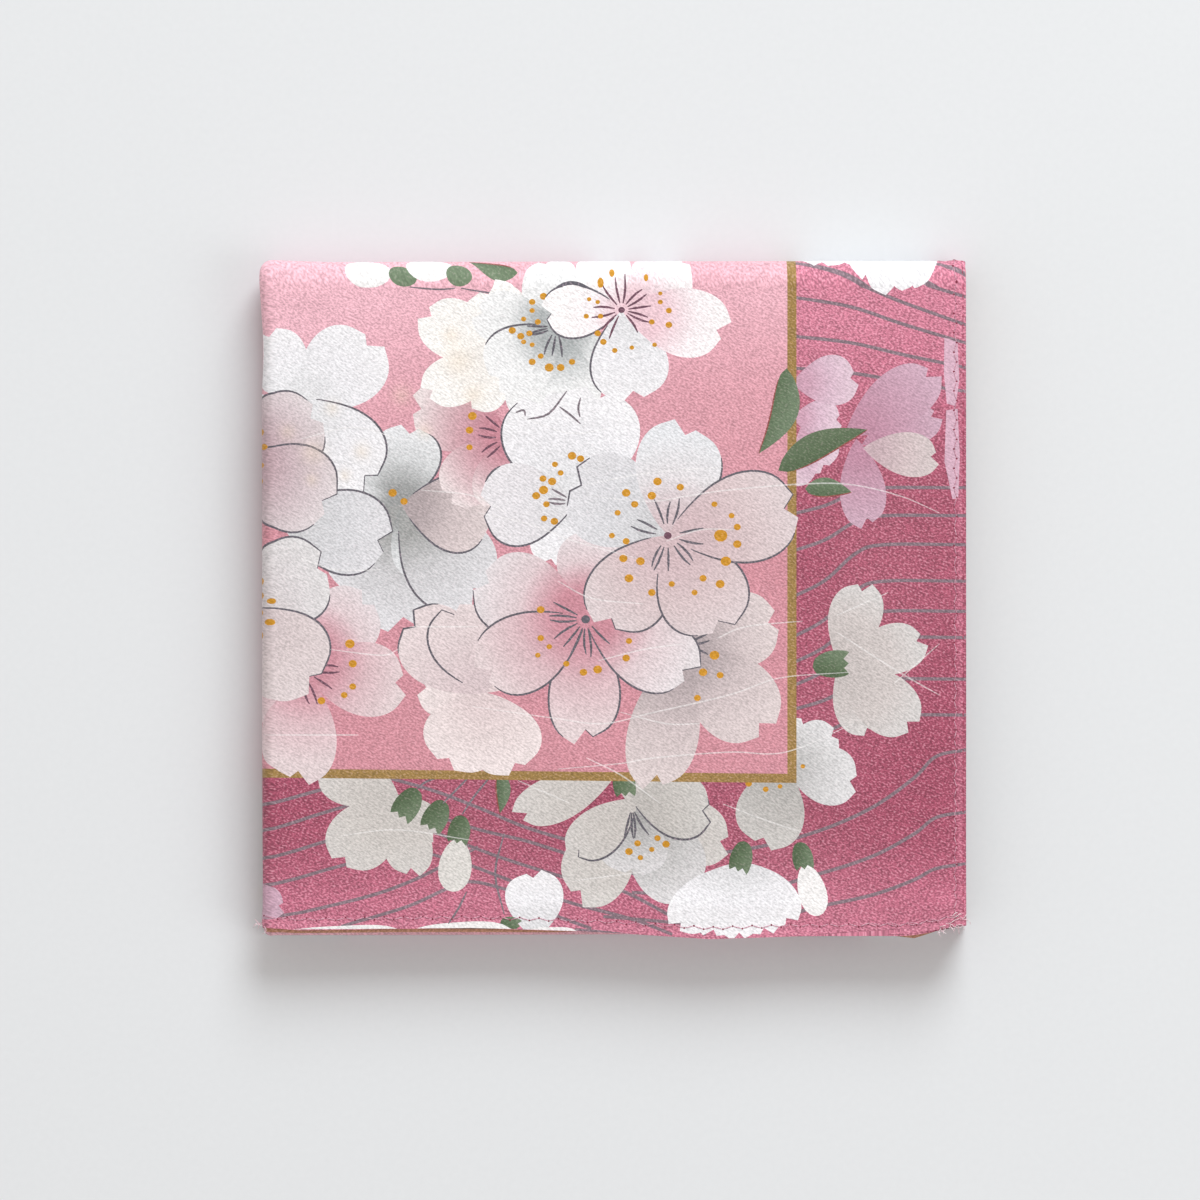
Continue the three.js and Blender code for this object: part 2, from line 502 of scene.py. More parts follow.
def add_petal(heart, angle, length, shades, width=0.78, skew=0.03, ink=(), glow=(0, 0)):
    """One petal. shades are its colours at the heart, middle and tip, round a point moved by glow.

    ink holds the two ends of each stretch of its outline that is drawn, as shares of the way round
    it, clockwise side first.
    """
    outline = turned(petal_outline(length, width, skew), heart, angle)
    near, middle, tip = shades
    reaches = [share * length for share in SHADE_REACHES]
    add_shape(outline, ring_paint(np.add(heart, glow), list(zip(reaches, (near, near, middle, tip)))))
    for first, last in zip(ink[::2], ink[1::2]):
        first, last = (round(share * (len(outline) - 1)) for share in (first, last))
        add_stroke(outline[first : last + 1], OUTLINE_WIDTH, INK)


def add_blossom(heart, shades, petals, glow=(0, 0)):
    """Petals round a heart, each over the ones before: (angle, length, width, ink, own shades)."""
    for k, (angle, length, width, *rest) in enumerate(petals):
        ink = rest[0] if rest else ()
        own = rest[1] if len(rest) > 1 else shades
        skew = 0.035 * math.sin(2.6 * k + heart[0])
        add_petal(heart, angle, length, own, width, skew, ink, glow)


def add_stamens(centre, angles, inner, outer, ink=INK):
    """Fine strokes round a heart, of uneven bend and length."""
    shares = np.linspace(0, 1, 4)
    for k, angle in enumerate(angles):
        bend = 7 * math.sin(2.4 * k)
        reach = outer * (1 + 0.16 * math.sin(3.1 * k))
        turn = np.radians(angle + bend * shares**2)
        radius = inner + (reach - inner) * shares
        line = points_from(centre[0] + radius * np.cos(turn), centre[1] + radius * np.sin(turn))
        add_stroke(line, STAMEN_WIDTH, ink)


def add_anthers(places, size=0.62, first=0):
    """Ochre dots of uneven size, which are counted on from first."""
    for k, (x, y) in enumerate(places, first):
        add_dot(x, y, size * (1 + 0.2 * math.sin(5.3 * k + 1)), OCHRE)


# Colours of a petal at its heart, its middle and its tip
PINK = ((204, 143, 156), (219, 188, 194), (227, 211, 213))
ROSE = ((200, 136, 150), (210, 170, 178), (234, 221, 222))
VEIL = ((202, 140, 153), (222, 203, 207), (228, 221, 224))
BLUSH = ((208, 184, 188), (215, 196, 198), (221, 208, 210))
POWDER = ((216, 198, 201), (223, 207, 209), (229, 215, 216))
PALE = ((225, 208, 209), (233, 219, 219), (238, 226, 226))
FAINT = ((236, 202, 211), (249, 241, 244), (252, 248, 249))
DUSK = ((190, 162, 170), (205, 188, 193), (226, 218, 220))
GREY = ((174, 179, 180), (236, 237, 238), (243, 243, 244))
SLATE = ((158, 160, 160), (214, 216, 218), (231, 232, 235))
CHALK = ((162, 163, 162), (207, 206, 209), (222, 221, 225))
MIST = ((172, 171, 170), (200, 199, 199), (219, 217, 219))
SMOKE = ((176, 163, 165), (208, 194, 195), (220, 207, 207))
CREAM = ((240, 236, 232), (248, 245, 242), (251, 249, 247))
ROSY = ((208, 194, 196), (215, 202, 203), (221, 209, 210))
VELVET = ((210, 202, 204), (216, 211, 213), (221, 219, 220))
WARM = ((203, 198, 194), (207, 202, 198), (212, 208, 205))
STONE = ((192, 188, 184), (199, 195, 191), (207, 204, 201))
SHADY = ((180, 178, 175), (191, 188, 185), (206, 203, 200))
LINEN = ((192, 191, 191), (211, 210, 211), (224, 223, 225))
SIDE = ((198, 190, 188), (206, 198, 196), (214, 211, 210))
COOL = ((206, 206, 209), (215, 215, 219), (222, 221, 225))
MILK = ((220, 219, 222), (227, 224, 228), (233, 230, 234))
OPAL = ((212, 192, 196), (223, 219, 222), (228, 230, 234))
SNOW = ((226, 226, 229), (236, 235, 239), (242, 241, 244))
LAVENDER = ((204, 160, 180), (214, 183, 200), (222, 198, 211))
LILAC = ((188, 138, 160), (196, 154, 174), (204, 170, 188))
MAUVE = ((196, 172, 178), (206, 188, 190), (212, 200, 200))
MAUVE_EDGE = (212, 174, 192)
BUD_GREY = (222, 219, 215)


def add_leaf(root, tip, width, bow=0.07, light=LEAF):
    """A leaf from its root to its pointed tip, with a reddish edge on one side."""
    run = np.subtract(tip, root)
    length = np.hypot(*run)
    t = np.linspace(0, 1, 14)
    half = width / 2 * np.sin(math.pi * t**0.75) ** 0.9
    bow = bow * length * np.sin(math.pi * t)
    upper = points_from(t * length, bow + half)
    lower = points_from(t * length, bow - half)
    angle = math.degrees(math.atan2(run[1], run[0]))
    outline = turned(np.vstack([upper, lower[-2:0:-1]]), root, angle)
    side = np.array([-run[1], run[0]]) / length * 0.6 * width
    middle = np.add(root, 0.5 * run)
    add_shape(outline, slope_paint(middle - side, middle + side, LEAF_DARK, light))
    add_stroke(turned(lower[2:], root, angle), 0.26, LEAF_EDGE)


# One side of a calyx and then the other, along it and away from its axis: a round foot, and lobes
CALYX = [(-0.6, 0.0), (-0.5, 0.24), (-0.15, 0.4), (0.22, 0.4), (0.56, 0.3), (0.36, 0.12)]
CALYX += [(0.5, -0.04), (0.34, -0.16), (0.46, -0.36), (0.12, -0.42), (-0.22, -0.36), (-0.52, -0.2)]


def add_calyx(x, y, angle, size):
    """The green cup that holds a bud or a blossom seen from the side, open along its angle."""
    placed = turned(np.multiply(curve_through(CALYX + CALYX[:1], 2)[:-1], size), (x, y), angle)
    foot, lobes = turned(np.multiply([(-0.2, -0.4), (0.2, 0.4)], size), (x, y), angle)
    add_shape(placed, slope_paint(foot, lobes, LEAF_DARK, LEAF))


def add_oval(x, y, angle, length, width, colour=WHITE):
    t = np.linspace(0, 2 * math.pi, 23)[:-1]
    outline = points_from(length / 2 * np.cos(t), width / 2 * np.sin(t) * (1 + 0.15 * np.cos(t)))
    add_shape(turned(outline, (x, y), angle), flat_paint(colour))


def add_bud(x, y, angle, length, width, calyx, colour=WHITE):
    """A closed bud, with its calyx behind it."""
    add_oval(x, y, angle, length, width, colour)
    turn = math.radians(angle)
    back = 0.46 * length + 0.4 * calyx
    add_calyx(x - back * math.cos(turn), y - back * math.sin(turn), angle, calyx)


# The print, from the ground up


def add_rectangle(x0, y0, x1, y1, paint):
    add_shape([(x0, y0), (x1, y0), (x1, y1), (x0, y1)], paint)


LEFT_END = PACK_WIDTH - CLOTH_ACROSS
RIGHT_END = PACK_WIDTH
RIM_INSET = 0.06


# How much paler the border is painted: at its very near edge and more widely (wear, and a painted
# highlight where the hem curves), at the right hem, at the far end of the top panel, and evenly past
# that
WEAR_AND_HIGHLIGHT = {"near": 0.78, "near_wide": 0.55, "right": 0.45, "far": 0.85, "beyond": 0.3}
# How pale the field is at some distances from the near hem
FIELD_PALING = {"up": (30, 70, 95, 112, 150), "pale": (0.0, 0.1, 0.35, 0.8, 0.5)}
FIELD_LEFT_PALING = 0.3
FIELD_CLOUD = 0.16


def border_paint(points):
    """Magenta, paler at the far end and along the hems, where wear and a painted highlight lighten it,
    and rust on the other half.
    """
    x, y = points.T
    cloud = np.sin(x / 9.0 + 1.3 * np.sin(y / 14.0))
    ground = mix(BORDER, BORDER_DEEP, 0.5 + 0.5 * cloud)
    # Paler along the near hem: wear, and a painted highlight where the hem curves
    near_edge = WEAR_AND_HIGHLIGHT["near"] * (1 - smooth((y - 1.2) / 3.0))
    near_hem = np.maximum(near_edge, WEAR_AND_HIGHLIGHT["near_wide"] * (1 - smooth(y / 22)))
    right_hem = WEAR_AND_HIGHLIGHT["right"] * falloff(PACK_WIDTH - x - 1.0, 1.2)
    far_end = WEAR_AND_HIGHLIGHT["far"] * smooth((y - 76) / 36)
    far_end = np.where(y < PACK_DEPTH + 12, far_end, WEAR_AND_HIGHLIGHT["beyond"])
    ground = mix(ground, BORDER_PALE, np.maximum(np.maximum(near_hem, right_hem), far_end))
    rust = smooth((PACK_WIDTH - CLOTH_ACROSS / 2 - x) / 30)
    return mix(ground, RUST, rust), GRAIN["border"]


def field_paint(points):
    """Pink, paler towards the far fold, most of all at the left."""
    x, y = points.T
    cloud = 0.5 + 0.5 * np.sin(x / 17 + 2.0) * np.cos(y / 21)
    pale = np.interp(y, FIELD_PALING["up"], FIELD_PALING["pale"])
    pale = pale + FIELD_LEFT_PALING * smooth((60 - x) / 60) * smooth((y - 70) / 30)
    pale = pale + FIELD_CLOUD * (cloud - 0.5)
    return mix(FIELD, FIELD_PALE, np.clip(pale, 0, 1)), GRAIN["field"]


def print_ground():
    inset = RIM_INSET
    add_rectangle(LEFT_END + inset, inset, RIGHT_END - inset, CLOTH_UP - inset, border_paint)


FLOW_WIDTH = 0.62
FLOW_TAPER = 0.1


def add_flow(points):
    add_stroke(curve_through(points), FLOW_WIDTH, FLOW_GREY, FLOW_TAPER)


def print_flow_lines():
    """Grey lines like running water, drawn all round the border."""
    left = PACK_WIDTH - FRAME_FROM_RIGHT
    hem = PACK_WIDTH
    # Down to the right, at the far end of the right border
    for start, fall in [(116.7, 9.7), (112.0, 8.2), (105.1, 5.6), (99.5, 4.2)]:
        knees = [(left + 11, start - 0.22 * fall), (left + 20, start - 0.58 * fall)]
        add_flow([(left, start)] + knees + [(hem, start - fall)])
    add_flow([(110, 122), (115.6, 117.6), (hem, 114.8)])
    add_flow([(106, 116.6), (114, 114.8), (hem, 111.9)])
    # Up from the frame, then level to the hem
    ends = [(73.6, 78.4), (67.0, 73.5), (58.8, 68.4), (51.7, 62.0)]
    ends += [(47.2, 56.7), (43.2, 52.1), (39.2, 44.8), (34.0, 38.5)]
    for start, end in ends:
        climb = end - start
        knees = [(left + 6.5, start + 0.34 * climb), (left + 12, start + 0.84 * climb), (left + 17, end)]
        add_flow([(left, start)] + knees + [(hem, end)])
    # Round the corner of the border, from the near hem up to the right one
    for k, end in enumerate([32.4, 21.4, 12.2, 5.0]):
        share = 1 - 0.25 * k
        add_flow(
            [
                (70 - 5 * k, end - 18.8 * share),
                (86, end - 17.0 * share - 0.6 * k),
                (97, end - 14.4 * share),
                (107, end - 10.2 * share),
                (114.5, end - 5.0 * share),
                (118.4, end - 1.2 * share),
                (hem, end),
            ]
        )
    # Rising from the left end of the near border
    for start, climb in [(22.4, 5.6), (17.6, 6.6), (12.4, 6.4), (7.4, 6.0)]:
        add_flow([(-9, start - 1.6), (0, start), (10, start + 0.5 * climb), (21, start + climb)])
    add_flow([(0, 1.6), (17.6, 5.6), (25.4, 8.2), (31.2, 11.0), (38, 14.8)])
    add_flow([(14, 0.6), (25.4, 3.9), (32.1, 6.9), (36.1, 8.3), (41, 7.6), (50, 4.8)])
    # Falling to the right, down to the near hem
    for line in [
        [(18, 28.6), (29.7, 25.3), (38.4, 21.9), (46.2, 18.6), (54.6, 16.1), (66, 13.4), (84, 9)],
        [(20, 24.6), (36.2, 18.6), (46.2, 16.1), (54.1, 13.7), (66, 10.4), (80, 5.4)],
        [(22, 21.4), (38.4, 14.2), (54.1, 9.3), (62.8, 7.7), (72.5, 3.3), (78, 0.8)],
        [(30, 13.4), (37.0, 11.2), (53.0, 5.4), (65.6, 2.5), (72.1, 0.4)],
        [(44, 5.6), (52.1, 2.5), (57.9, 0.6)],
    ]:
        add_flow(line)
    # Along the right border of the half that is folded under
    for k in range(12):
        y = 128 + 9.5 * k
        add_flow([(left, y), (left + 11, y + 3), (left + 22, y + 3.6), (hem, y + 6)])
    # And along the near border past the left fold
    for k in range(12):
        x = -16 - 9.5 * k
        add_flow([(x, 0), (x - 7, 9), (x - 8, 19), (x - 14, 30)])


def add_strokes(lines, width=0.38, colour=INK_SOFT):
    for line in lines:
        add_stroke(curve_through(line, 4), width, colour)


def print_right_border():
    # White petals at the far end of the right border
    for x, y, angle, length, width in [
        (100, 124.0, 258, 8.4, 1.1),
        (104, 124.0, 282, 8.0, 0.9),
        (108, 124.6, 262, 10.4, 0.8),
        (111, 126.0, 270, 13.6, 0.8),
        (115, 125.0, 262, 12.0, 0.8),
    ]:
        add_petal((x, y), angle, length, SNOW, width)
    # Lavender blossoms behind, at the right
    for x, y, angle, length, width, shades in [
        (95.0, 89.6, 296, 9.0, 0.9, LAVENDER),
        (93.2, 90.8, -4, 8.6, 0.8, LAVENDER),
        (93.2, 96.8, 4, 11.4, 0.78, LAVENDER),
        (105.4, 86.0, 21, 14.6, 0.5, LILAC),
        (102.4, 87.6, 35, 19.6, 0.5, LILAC),
        (97.0, 88.4, 246, 10.8, 0.6, LAVENDER),
        (104.4, 87.0, 277, 15.6, 0.52, LILAC),
    ]:
        add_petal((x, y), angle, length, shades, width)
    add_petal((105.6, 85.4), -8, 13.4, MAUVE, 0.58)
    for outline in [
        [(119.9, 104.8), (122.2, 104.0), (122.5, 97.5), (121.9, 92.7), (120.3, 93.2), (119.8, 98.5)],
        [(120.2, 92.0), (122.2, 92.3), (122.6, 84.0), (122.3, 76.6), (121.3, 76.4), (119.9, 83.0)],
    ]:
        add_shape(outline, flat_paint(MAUVE_EDGE))
    # A white blossom seen from the side
    rows = [(72, 15.0, 0.62), (-66, 13.6, 0.62), (-40, 17.4, 0.6), (16, 15.8, 0.56)]
    add_blossom((101.4, 47.4), SIDE, rows)
    add_calyx(100.2, 47.4, 8, 5.8)
    # A grey-white blossom under the frame's corner
    rows = [
        (60, 8.2, 0.8, (), LINEN), (27, 10.8, 0.76, (0.1, 0.42), LINEN),
        (-17, 13.8, 0.74, (), LINEN), (-103, 15.2, 0.8, (), SHADY),
    ]
    add_blossom((91.4, 30.4), MIST, rows)
    add_anthers([(85.5, 26.5), (88.5, 25.5), (91.0, 26.0), (95.0, 29.5)], 0.52)


def print_near_border():
    # White blossoms that hang from the frame
    rows = [(160, 14.4, 0.7), (-50, 10.4, 0.66), (-80, 15.2, 0.56), (230, 16.4, 0.72)]
    add_blossom((24.0, 24.4), WARM, rows)
    add_calyx(25.6, 22.6, -118, 5.6)
    add_petal((62.6, 28.8), 205, 19.8, WARM, 0.42)
    heart = (65.0, 22.4)
    rows = [
        (-21, 18.4, 0.58), (240, 19.6, 0.62), (304, 18.4, 0.72, (), MIST),
        (272, 12.0, 1.0, (), MIST), (80, 8.0, 0.9),
    ]
    add_blossom(heart, WARM, rows)
    add_petal((66.0, 23.8), 221, 15.4, WARM, 0.56, ink=(0.5, 0.94))
    add_petal((64.6, 24.4), -12, 14.6, STONE, 0.76, ink=(0.06, 0.56))
    add_stamens(heart, [256, 268, 282, 296], 1.0, 5.6)
    add_anthers([(64.5, 14.5), (66, 16), (66.5, 13.5), (68.5, 15), (69.5, 17), (71, 16)], 0.6)
    add_calyx(63.6, 26.6, -78, 4.8)

    # A cup-shaped blossom, buds and a half-open one along the near hem
    rows = [(-136, 16.6, 0.5), (-50, 14.0, 0.6), (-114, 13.8, 0.62), (-70, 13.4, 0.62), (-92, 13.4, 0.6)]
    add_blossom((84.2, 13.0), SNOW, rows)
    add_calyx(84.2, 13.8, -100, 4.8)
    add_bud(96.6, 8.0, -74, 9.2, 4.9, calyx=4.4)
    add_bud(34.0, 11.4, -96, 9.8, 5.8, calyx=4.8, colour=BUD_GREY)
    add_calyx(30.6, 20.4, -112, 5.4)
    add_petal((48.0, -1.6), 91, 12.2, SNOW, 0.84)
    add_calyx(43.8, 0.9, -10, 3.2)
    # The tops of petals that the near hem cuts off
    for x, width, rise in [(14.5, 19.0, 0.7), (35.5, 17.0, 1.1), (51.0, 9.0, 0.6)]:
        t = np.linspace(-1, 1, 11)
        crest = points_from(x + width / 2 * t, rise * (1 - t**4) * (1 + 0.4 * t))
        add_shape(crest, flat_paint(WHITE))
    add_petal((-6.0, 6.6), -16, 10.4, LILAC, 0.6)
    add_leaf((42.0, 28.6), (41.8, 21.0), 2.6)
    add_strokes(
        [
            [(36.8, 28), (33.9, 25.0), (31.8, 22.8)],
            [(40.4, 28), (37.4, 24.2), (35.2, 20.8)],
            [(32.4, 28), (29.0, 26.8), (27.2, 25.4)],
            [(42.6, 17.4), (41.0, 10), (42.6, 2.6)],
            [(36.0, 6.5), (34.6, 3.6), (32.8, 0.8)],
        ]
    )


FRAME_SLOPE = 0.9


def print_field():
    """The pink field and the gold frame round it, over what grows out of the border.

    The near side of the frame drops a little towards its right end.
    """
    left = LEFT_END + FRAME_FROM_RIGHT
    right = RIGHT_END - FRAME_FROM_RIGHT
    near = FRAME_FROM_NEAR
    far = CLOTH_UP - FRAME_FROM_NEAR
    for line, paint in [(FRAME_WIDTH, flat_paint(GOLD, "line")), (0, field_paint)]:
        corners = [
            (left - line, near - line),
            (0, near - line),
            (right + line, near - line - FRAME_SLOPE),
            (right + line, far + line),
            (left - line, far + line),
        ]
        add_shape(corners, paint)


def print_far_flowers():
    # Buds and a leaf over the far fold
    add_oval(18.7, 115.2, 176, 8.2, 3.4)
    add_oval(24.8, 114.7, 172, 5.0, 2.1, LEAF)
    add_oval(29.5, 115.7, 176, 8.3, 3.2)
    add_oval(34.7, 114.8, 174, 4.6, 2.3, LEAF)
    add_leaf((45, 115.0), (36.4, 116.8), 2.0)
    add_strokes([[(26, 113.6), (31, 113.2), (34, 113.4)], [(35, 113.4), (40, 112.6), (45, 112.2)]], 0.32)

    # A cream blossom at the back, over a petal of the pink one below it
    add_petal((43.6, 87.4), 162, 18.2, ROSE, 0.66, glow=(0.5, 0))
    rows = [(152, 17.0, 0.62), (106, 13.0, 0.9), (228, 10.6, 0.9), (203, 16.0, 0.56)]
    add_blossom((43.2, 101.2), CREAM, rows)

    # A grey one over it, half under the pink one at the far edge
    heart = (51.8, 106.6)
    rows = [
        (100, 11.0, 0.9), (170, 14.8, 0.64), (306, 15.0, 0.8), (266, 18.4, 0.9),
        (222, 15.0, 0.86, (0.1, 0.34)),
    ]
    add_blossom(heart, GREY, rows)
    add_stamens(heart, [178, 190, 202, 240, 262, 284], 1.6, 5.2)
    add_anthers([(49.5, 112), (47.5, 111), (47.5, 109.5), (46, 108), (48.5, 107.5), (44, 106)], 0.58)
    add_anthers([(45.5, 105), (47, 105.5), (46, 104), (47.5, 103.5), (49, 101.5), (47.5, 100.5)], 0.56)
    add_anthers([(50.5, 99.5), (52.5, 99.5), (54.5, 100.5)], 0.7)

    # The pink one at the far edge, with its full ring of stamens
    heart = (63.2, 109.6)
    rows = [
        (118, 11.0, 0.9), (-82, 16.0, 0.86, (0.1, 0.4), SNOW), (34, 14.2, 0.74),
        (182, 13.8, 0.68, (0.1, 0.44, 0.5, 0.96)), (-11, 19.0, 0.64),
    ]
    add_blossom(heart, FAINT, rows, glow=(2.6, -0.6))
    ring = [8, 28, 52, 78, 104, 132, 168, 200, 222, 244, 312, 330, 348]
    add_stamens(heart, ring, 1.2, 5.2, ink=INK_ROSE)
    add_anthers([(59.5, 114), (61.5, 115), (67.5, 114.5), (70, 112.5), (70, 111), (71.5, 109.5)], 0.48)
    add_anthers([(71.5, 107), (68.5, 107.5), (69, 103.5), (65, 103), (62, 102.5), (60, 104)], 0.52)
    add_anthers([(59, 105.5), (59.5, 108.5), (59, 111), (57.5, 111.5), (57, 108.5)], 0.5)
    add_dot(*heart, 0.6, INK_ROSE)


def print_left_flowers():
    # A white blossom at the left
    rows = [(110, 14.6, 0.7), (200, 14.0, 0.8), (258, 15.0, 0.8), (40, 18.4, 0.8)]
    add_blossom((6.0, 92.6), SNOW, rows)

    # A grey one, with white petals of its neighbours over it
    heart = (24.6, 75.4)
    rows = [
        (128, 13.0, 0.8), (190, 10.0, 0.9), (244, 19.0, 0.9, (), CHALK),
        (270, 22.0, 0.84, (), CHALK), (84, 14.0, 0.86, (0.12, 0.44)), (300, 14.0, 0.9),
        (-50, 21.6, 0.76, (0.1, 0.44), CHALK),
        (-8, 16.4, 0.86, (0.06, 0.44, 0.5, 0.96), SMOKE),
    ]
    add_blossom(heart, SLATE, rows)
    add_anthers([(23, 77.5), (25, 76)], 0.66)
    add_petal((6.6, 94.0), -50, 19.8, SNOW, 0.76, 0.02, (0.08, 0.44, 0.48, 0.96))
    add_petal((2.8, 73.4), -13, 20.2, COOL, 0.74, -0.02, (0.1, 0.44, 0.48, 0.96))

    # A pink one over them, which goes round the fold
    heart = (-4.6, 83.0)
    rows = [
        (100, 15.0, 0.78), (172, 16.0, 0.78, (0.1, 0.5)), (248, 16.0, 0.78),
        (30, 17.0, 0.84, (0.1, 0.44, 0.55, 0.9)), (-24, 18.6, 0.84, (0.1, 0.44, 0.5, 0.96)),
    ]
    add_blossom(heart, DUSK, rows, glow=(1.5, 0.5))
    add_stamens(heart, range(0, 360, 30), 1.0, 4.4, ink=INK_ROSE)
    add_anthers([(0.4, 88.2), (1, 85.6), (0.6, 82.4), (0.4, 79.6), (-10, 86), (-11, 81), (-8, 76)], 0.6)

    # A pink one whose lowest petal crosses the frame
    heart = (7.0, 46.6)
    rows = [
        (204, 15.0, 0.8), (128, 15.0, 0.8), (47, 17.4, 0.74, (), VEIL), (-9, 18.6, 0.7),
        (-91, 20.0, 0.64),
    ]
    add_blossom(heart, PINK, rows, glow=(1.0, 2.0))
    add_stamens(heart, [62, 34, 10, -10, -32, -62, -84], 2.6, 6.6, ink=INK_ROSE)
    add_anthers([(15.5, 51), (16, 47.5), (16, 43.5), (14.5, 42), (10.5, 41)], 0.74)

    # And a white one over it and over the fold
    heart = (-3.2, 57.0)
    rows = [
        (104, 14.0, 0.8), (176, 15.0, 0.8), (250, 15.0, 0.8, (0.1, 0.5)),
        (30, 16.6, 0.92, (0.08, 0.42, 0.5, 0.96), VELVET), (-46, 18.4, 0.86, (0.5, 0.96)),
    ]
    add_blossom(heart, ROSY, rows)
    add_stamens(heart, range(20, 360, 40), 1.0, 3.2)
    add_anthers([(0.3, 62), (0.4, 59.5), (2, 58.5), (0.4, 56.5)], 0.66)
    add_anthers([(1.8, 54.8), (0.2, 52.5), (-8, 60)], 0.66, first=4)


def print_middle_flowers():
    # A pink one, half hidden
    heart = (43.6, 87.4)
    rows = [(224, 15.6, 0.66), (256, 13.0, 0.7)]
    add_blossom(heart, ROSE, rows, glow=(0.5, 0))
    add_stamens(heart, [140, 160, 184, 204, 224], 2.4, 5.6, ink=INK_ROSE)
    add_anthers([(37, 91), (36.5, 88.5), (36.5, 85.5)], 0.68)

    # Pale ones under the large ones below the middle
    heart = (39.6, 42.4)
    rows = [
        (60, 15.0, 0.8), (176, 12.0, 0.8), (137, 19.2, 0.72, (0.4, 0.62), POWDER),
        (113, 16.6, 0.76, (0.1, 0.4, 0.5, 0.9), POWDER), (240, 14.8, 0.92), (291, 14.8, 0.86),
    ]
    add_blossom(heart, PALE, rows)
    heart = (73.5, 50.6)
    rows = [
        (98, 14.0, 0.8, (), MIST), (180, 14.0, 0.8, (), MIST), (15, 17.8, 0.74),
        (-44, 21.6, 0.68), (259, 25.6, 0.49),
    ]
    add_blossom(heart, SMOKE, rows)
    add_stamens(heart, [24, 6, -10], 1.6, 5.2)
    add_anthers([(79.5, 49), (77.5, 46), (80.5, 45.5), (76.5, 41.5)], 0.76)

    # White, with a cluster of anthers at its heart
    heart = (55.1, 75.8)
    rows = [
        (-62, 15.0, 0.8), (246, 12.0, 0.8), (110, 20.4, 0.84, (0.56, 0.96)), (78, 20.6, 0.84),
        (182, 16.6, 0.88, (0.34, 0.44, 0.5, 0.97), MILK),
    ]
    add_blossom(heart, SNOW, rows)
    add_stamens(heart, [150, 168, 186], 1.8, 4.8, ink=INK_SOFT)
    add_anthers([(54.5, 84), (56, 83.5), (51.5, 82.5), (52.5, 81), (49.4, 80), (51, 79.5)], 0.66)
    add_anthers([(49.5, 78), (48.2, 77), (50, 75.5), (49.6, 73), (51.4, 72.5)], 0.72)
    add_strokes(
        [
            [(46.6, 90.4), (50.4, 91.4), (53.6, 95.4)],
            [(52.3, 92.6), (54.2, 91.2), (56.0, 89.6)],
            [(56.0, 94.2), (55.6, 92.4), (55.9, 90.8)],
            [(44.6, 91.6), (46.0, 92.0), (46.3, 91.0)],
        ]
    )


def print_large_flowers():
    # The pink-shaded one below the middle
    heart = (56.9, 55.3)
    rows = [
        (78, 16.0, 0.9, (), VEIL), (20, 13.0, 0.9), (160, 20.2, 0.74, (0.54, 0.97), VEIL),
        (-91, 21.6, 0.58, (0.06, 0.44, 0.5, 0.96)),
        (-27, 21.4, 0.63, (0.04, 0.44, 0.5, 0.97), VEIL),
        (208, 21.0, 0.66, (0.1, 0.4, 0.56, 0.97)),
    ]
    add_blossom(heart, PINK, rows, glow=(0, 1.0))
    add_stamens(heart, [152, 170, 188, 206, 232, 250, 264, 284, 312], 1.6, 6.4)
    add_anthers([(49, 57), (49, 52), (50.5, 50.5), (48.5, 49), (53.5, 47.5), (56.5, 46)], 0.6)
    add_anthers([(59, 46.5), (64, 48.5), (64.5, 51.5)], 0.68)
    add_dot(*heart, 0.8, INK)

    # The largest blossom, a little right of the middle, with one petal over the frame
    heart = (71.3, 70.0)
    rows = [
        (149, 19.6, 0.84, (0.44, 0.58), COOL), (81, 20.0, 0.76, (0.1, 0.36), OPAL),
        (235, 19.6, 0.74, (0.08, 0.44, 0.5, 0.97)), (-59, 19.4, 0.82, (0.14, 0.44, 0.5, 0.96)),
        (13, 23.4, 0.68, (0.1, 0.44, 0.5, 0.96)),
    ]
    add_blossom(heart, BLUSH, rows, glow=(1.0, -1.0))
    ring = [12, -18, -38, -58, -88, -108, 236, 172, 150, 108, 92, 66]
    add_stamens(heart, ring, 2.1, 6.4)
    add_anthers([(64, 77.5), (65.5, 75.5), (62.5, 74), (61.5, 70)], 0.66)
    add_anthers([(64, 69), (63.5, 66), (66.5, 65.5)], 0.66, first=4)
    add_anthers([(64.5, 62.5), (68.5, 60), (72, 61.5), (76, 60), (77.5, 62.5), (69.5, 79.5)], 0.68)
    add_anthers([(68.5, 77), (73.5, 78.5), (79.5, 75.5), (82.5, 73.5), (83.5, 71.5), (83.5, 68.5)], 0.66)
    add_anthers([(81.5, 65.5), (80.5, 61.5), (80.8, 70)], 0.8)
    add_dot(80.6, 70.0, 1.2, OCHRE)
    add_dot(*heart, 0.7, INK_ROSE)

    # Leaves over the frame
    add_leaf((92.2, 99.4), (87.3, 84.4), 4.8, bow=0.13)
    add_leaf((90.7, 81.4), (106.4, 88.6), 4.8, light=LEAF_DUSK)
    add_leaf((95.4, 78.2), (103.6, 77.6), 3.4)
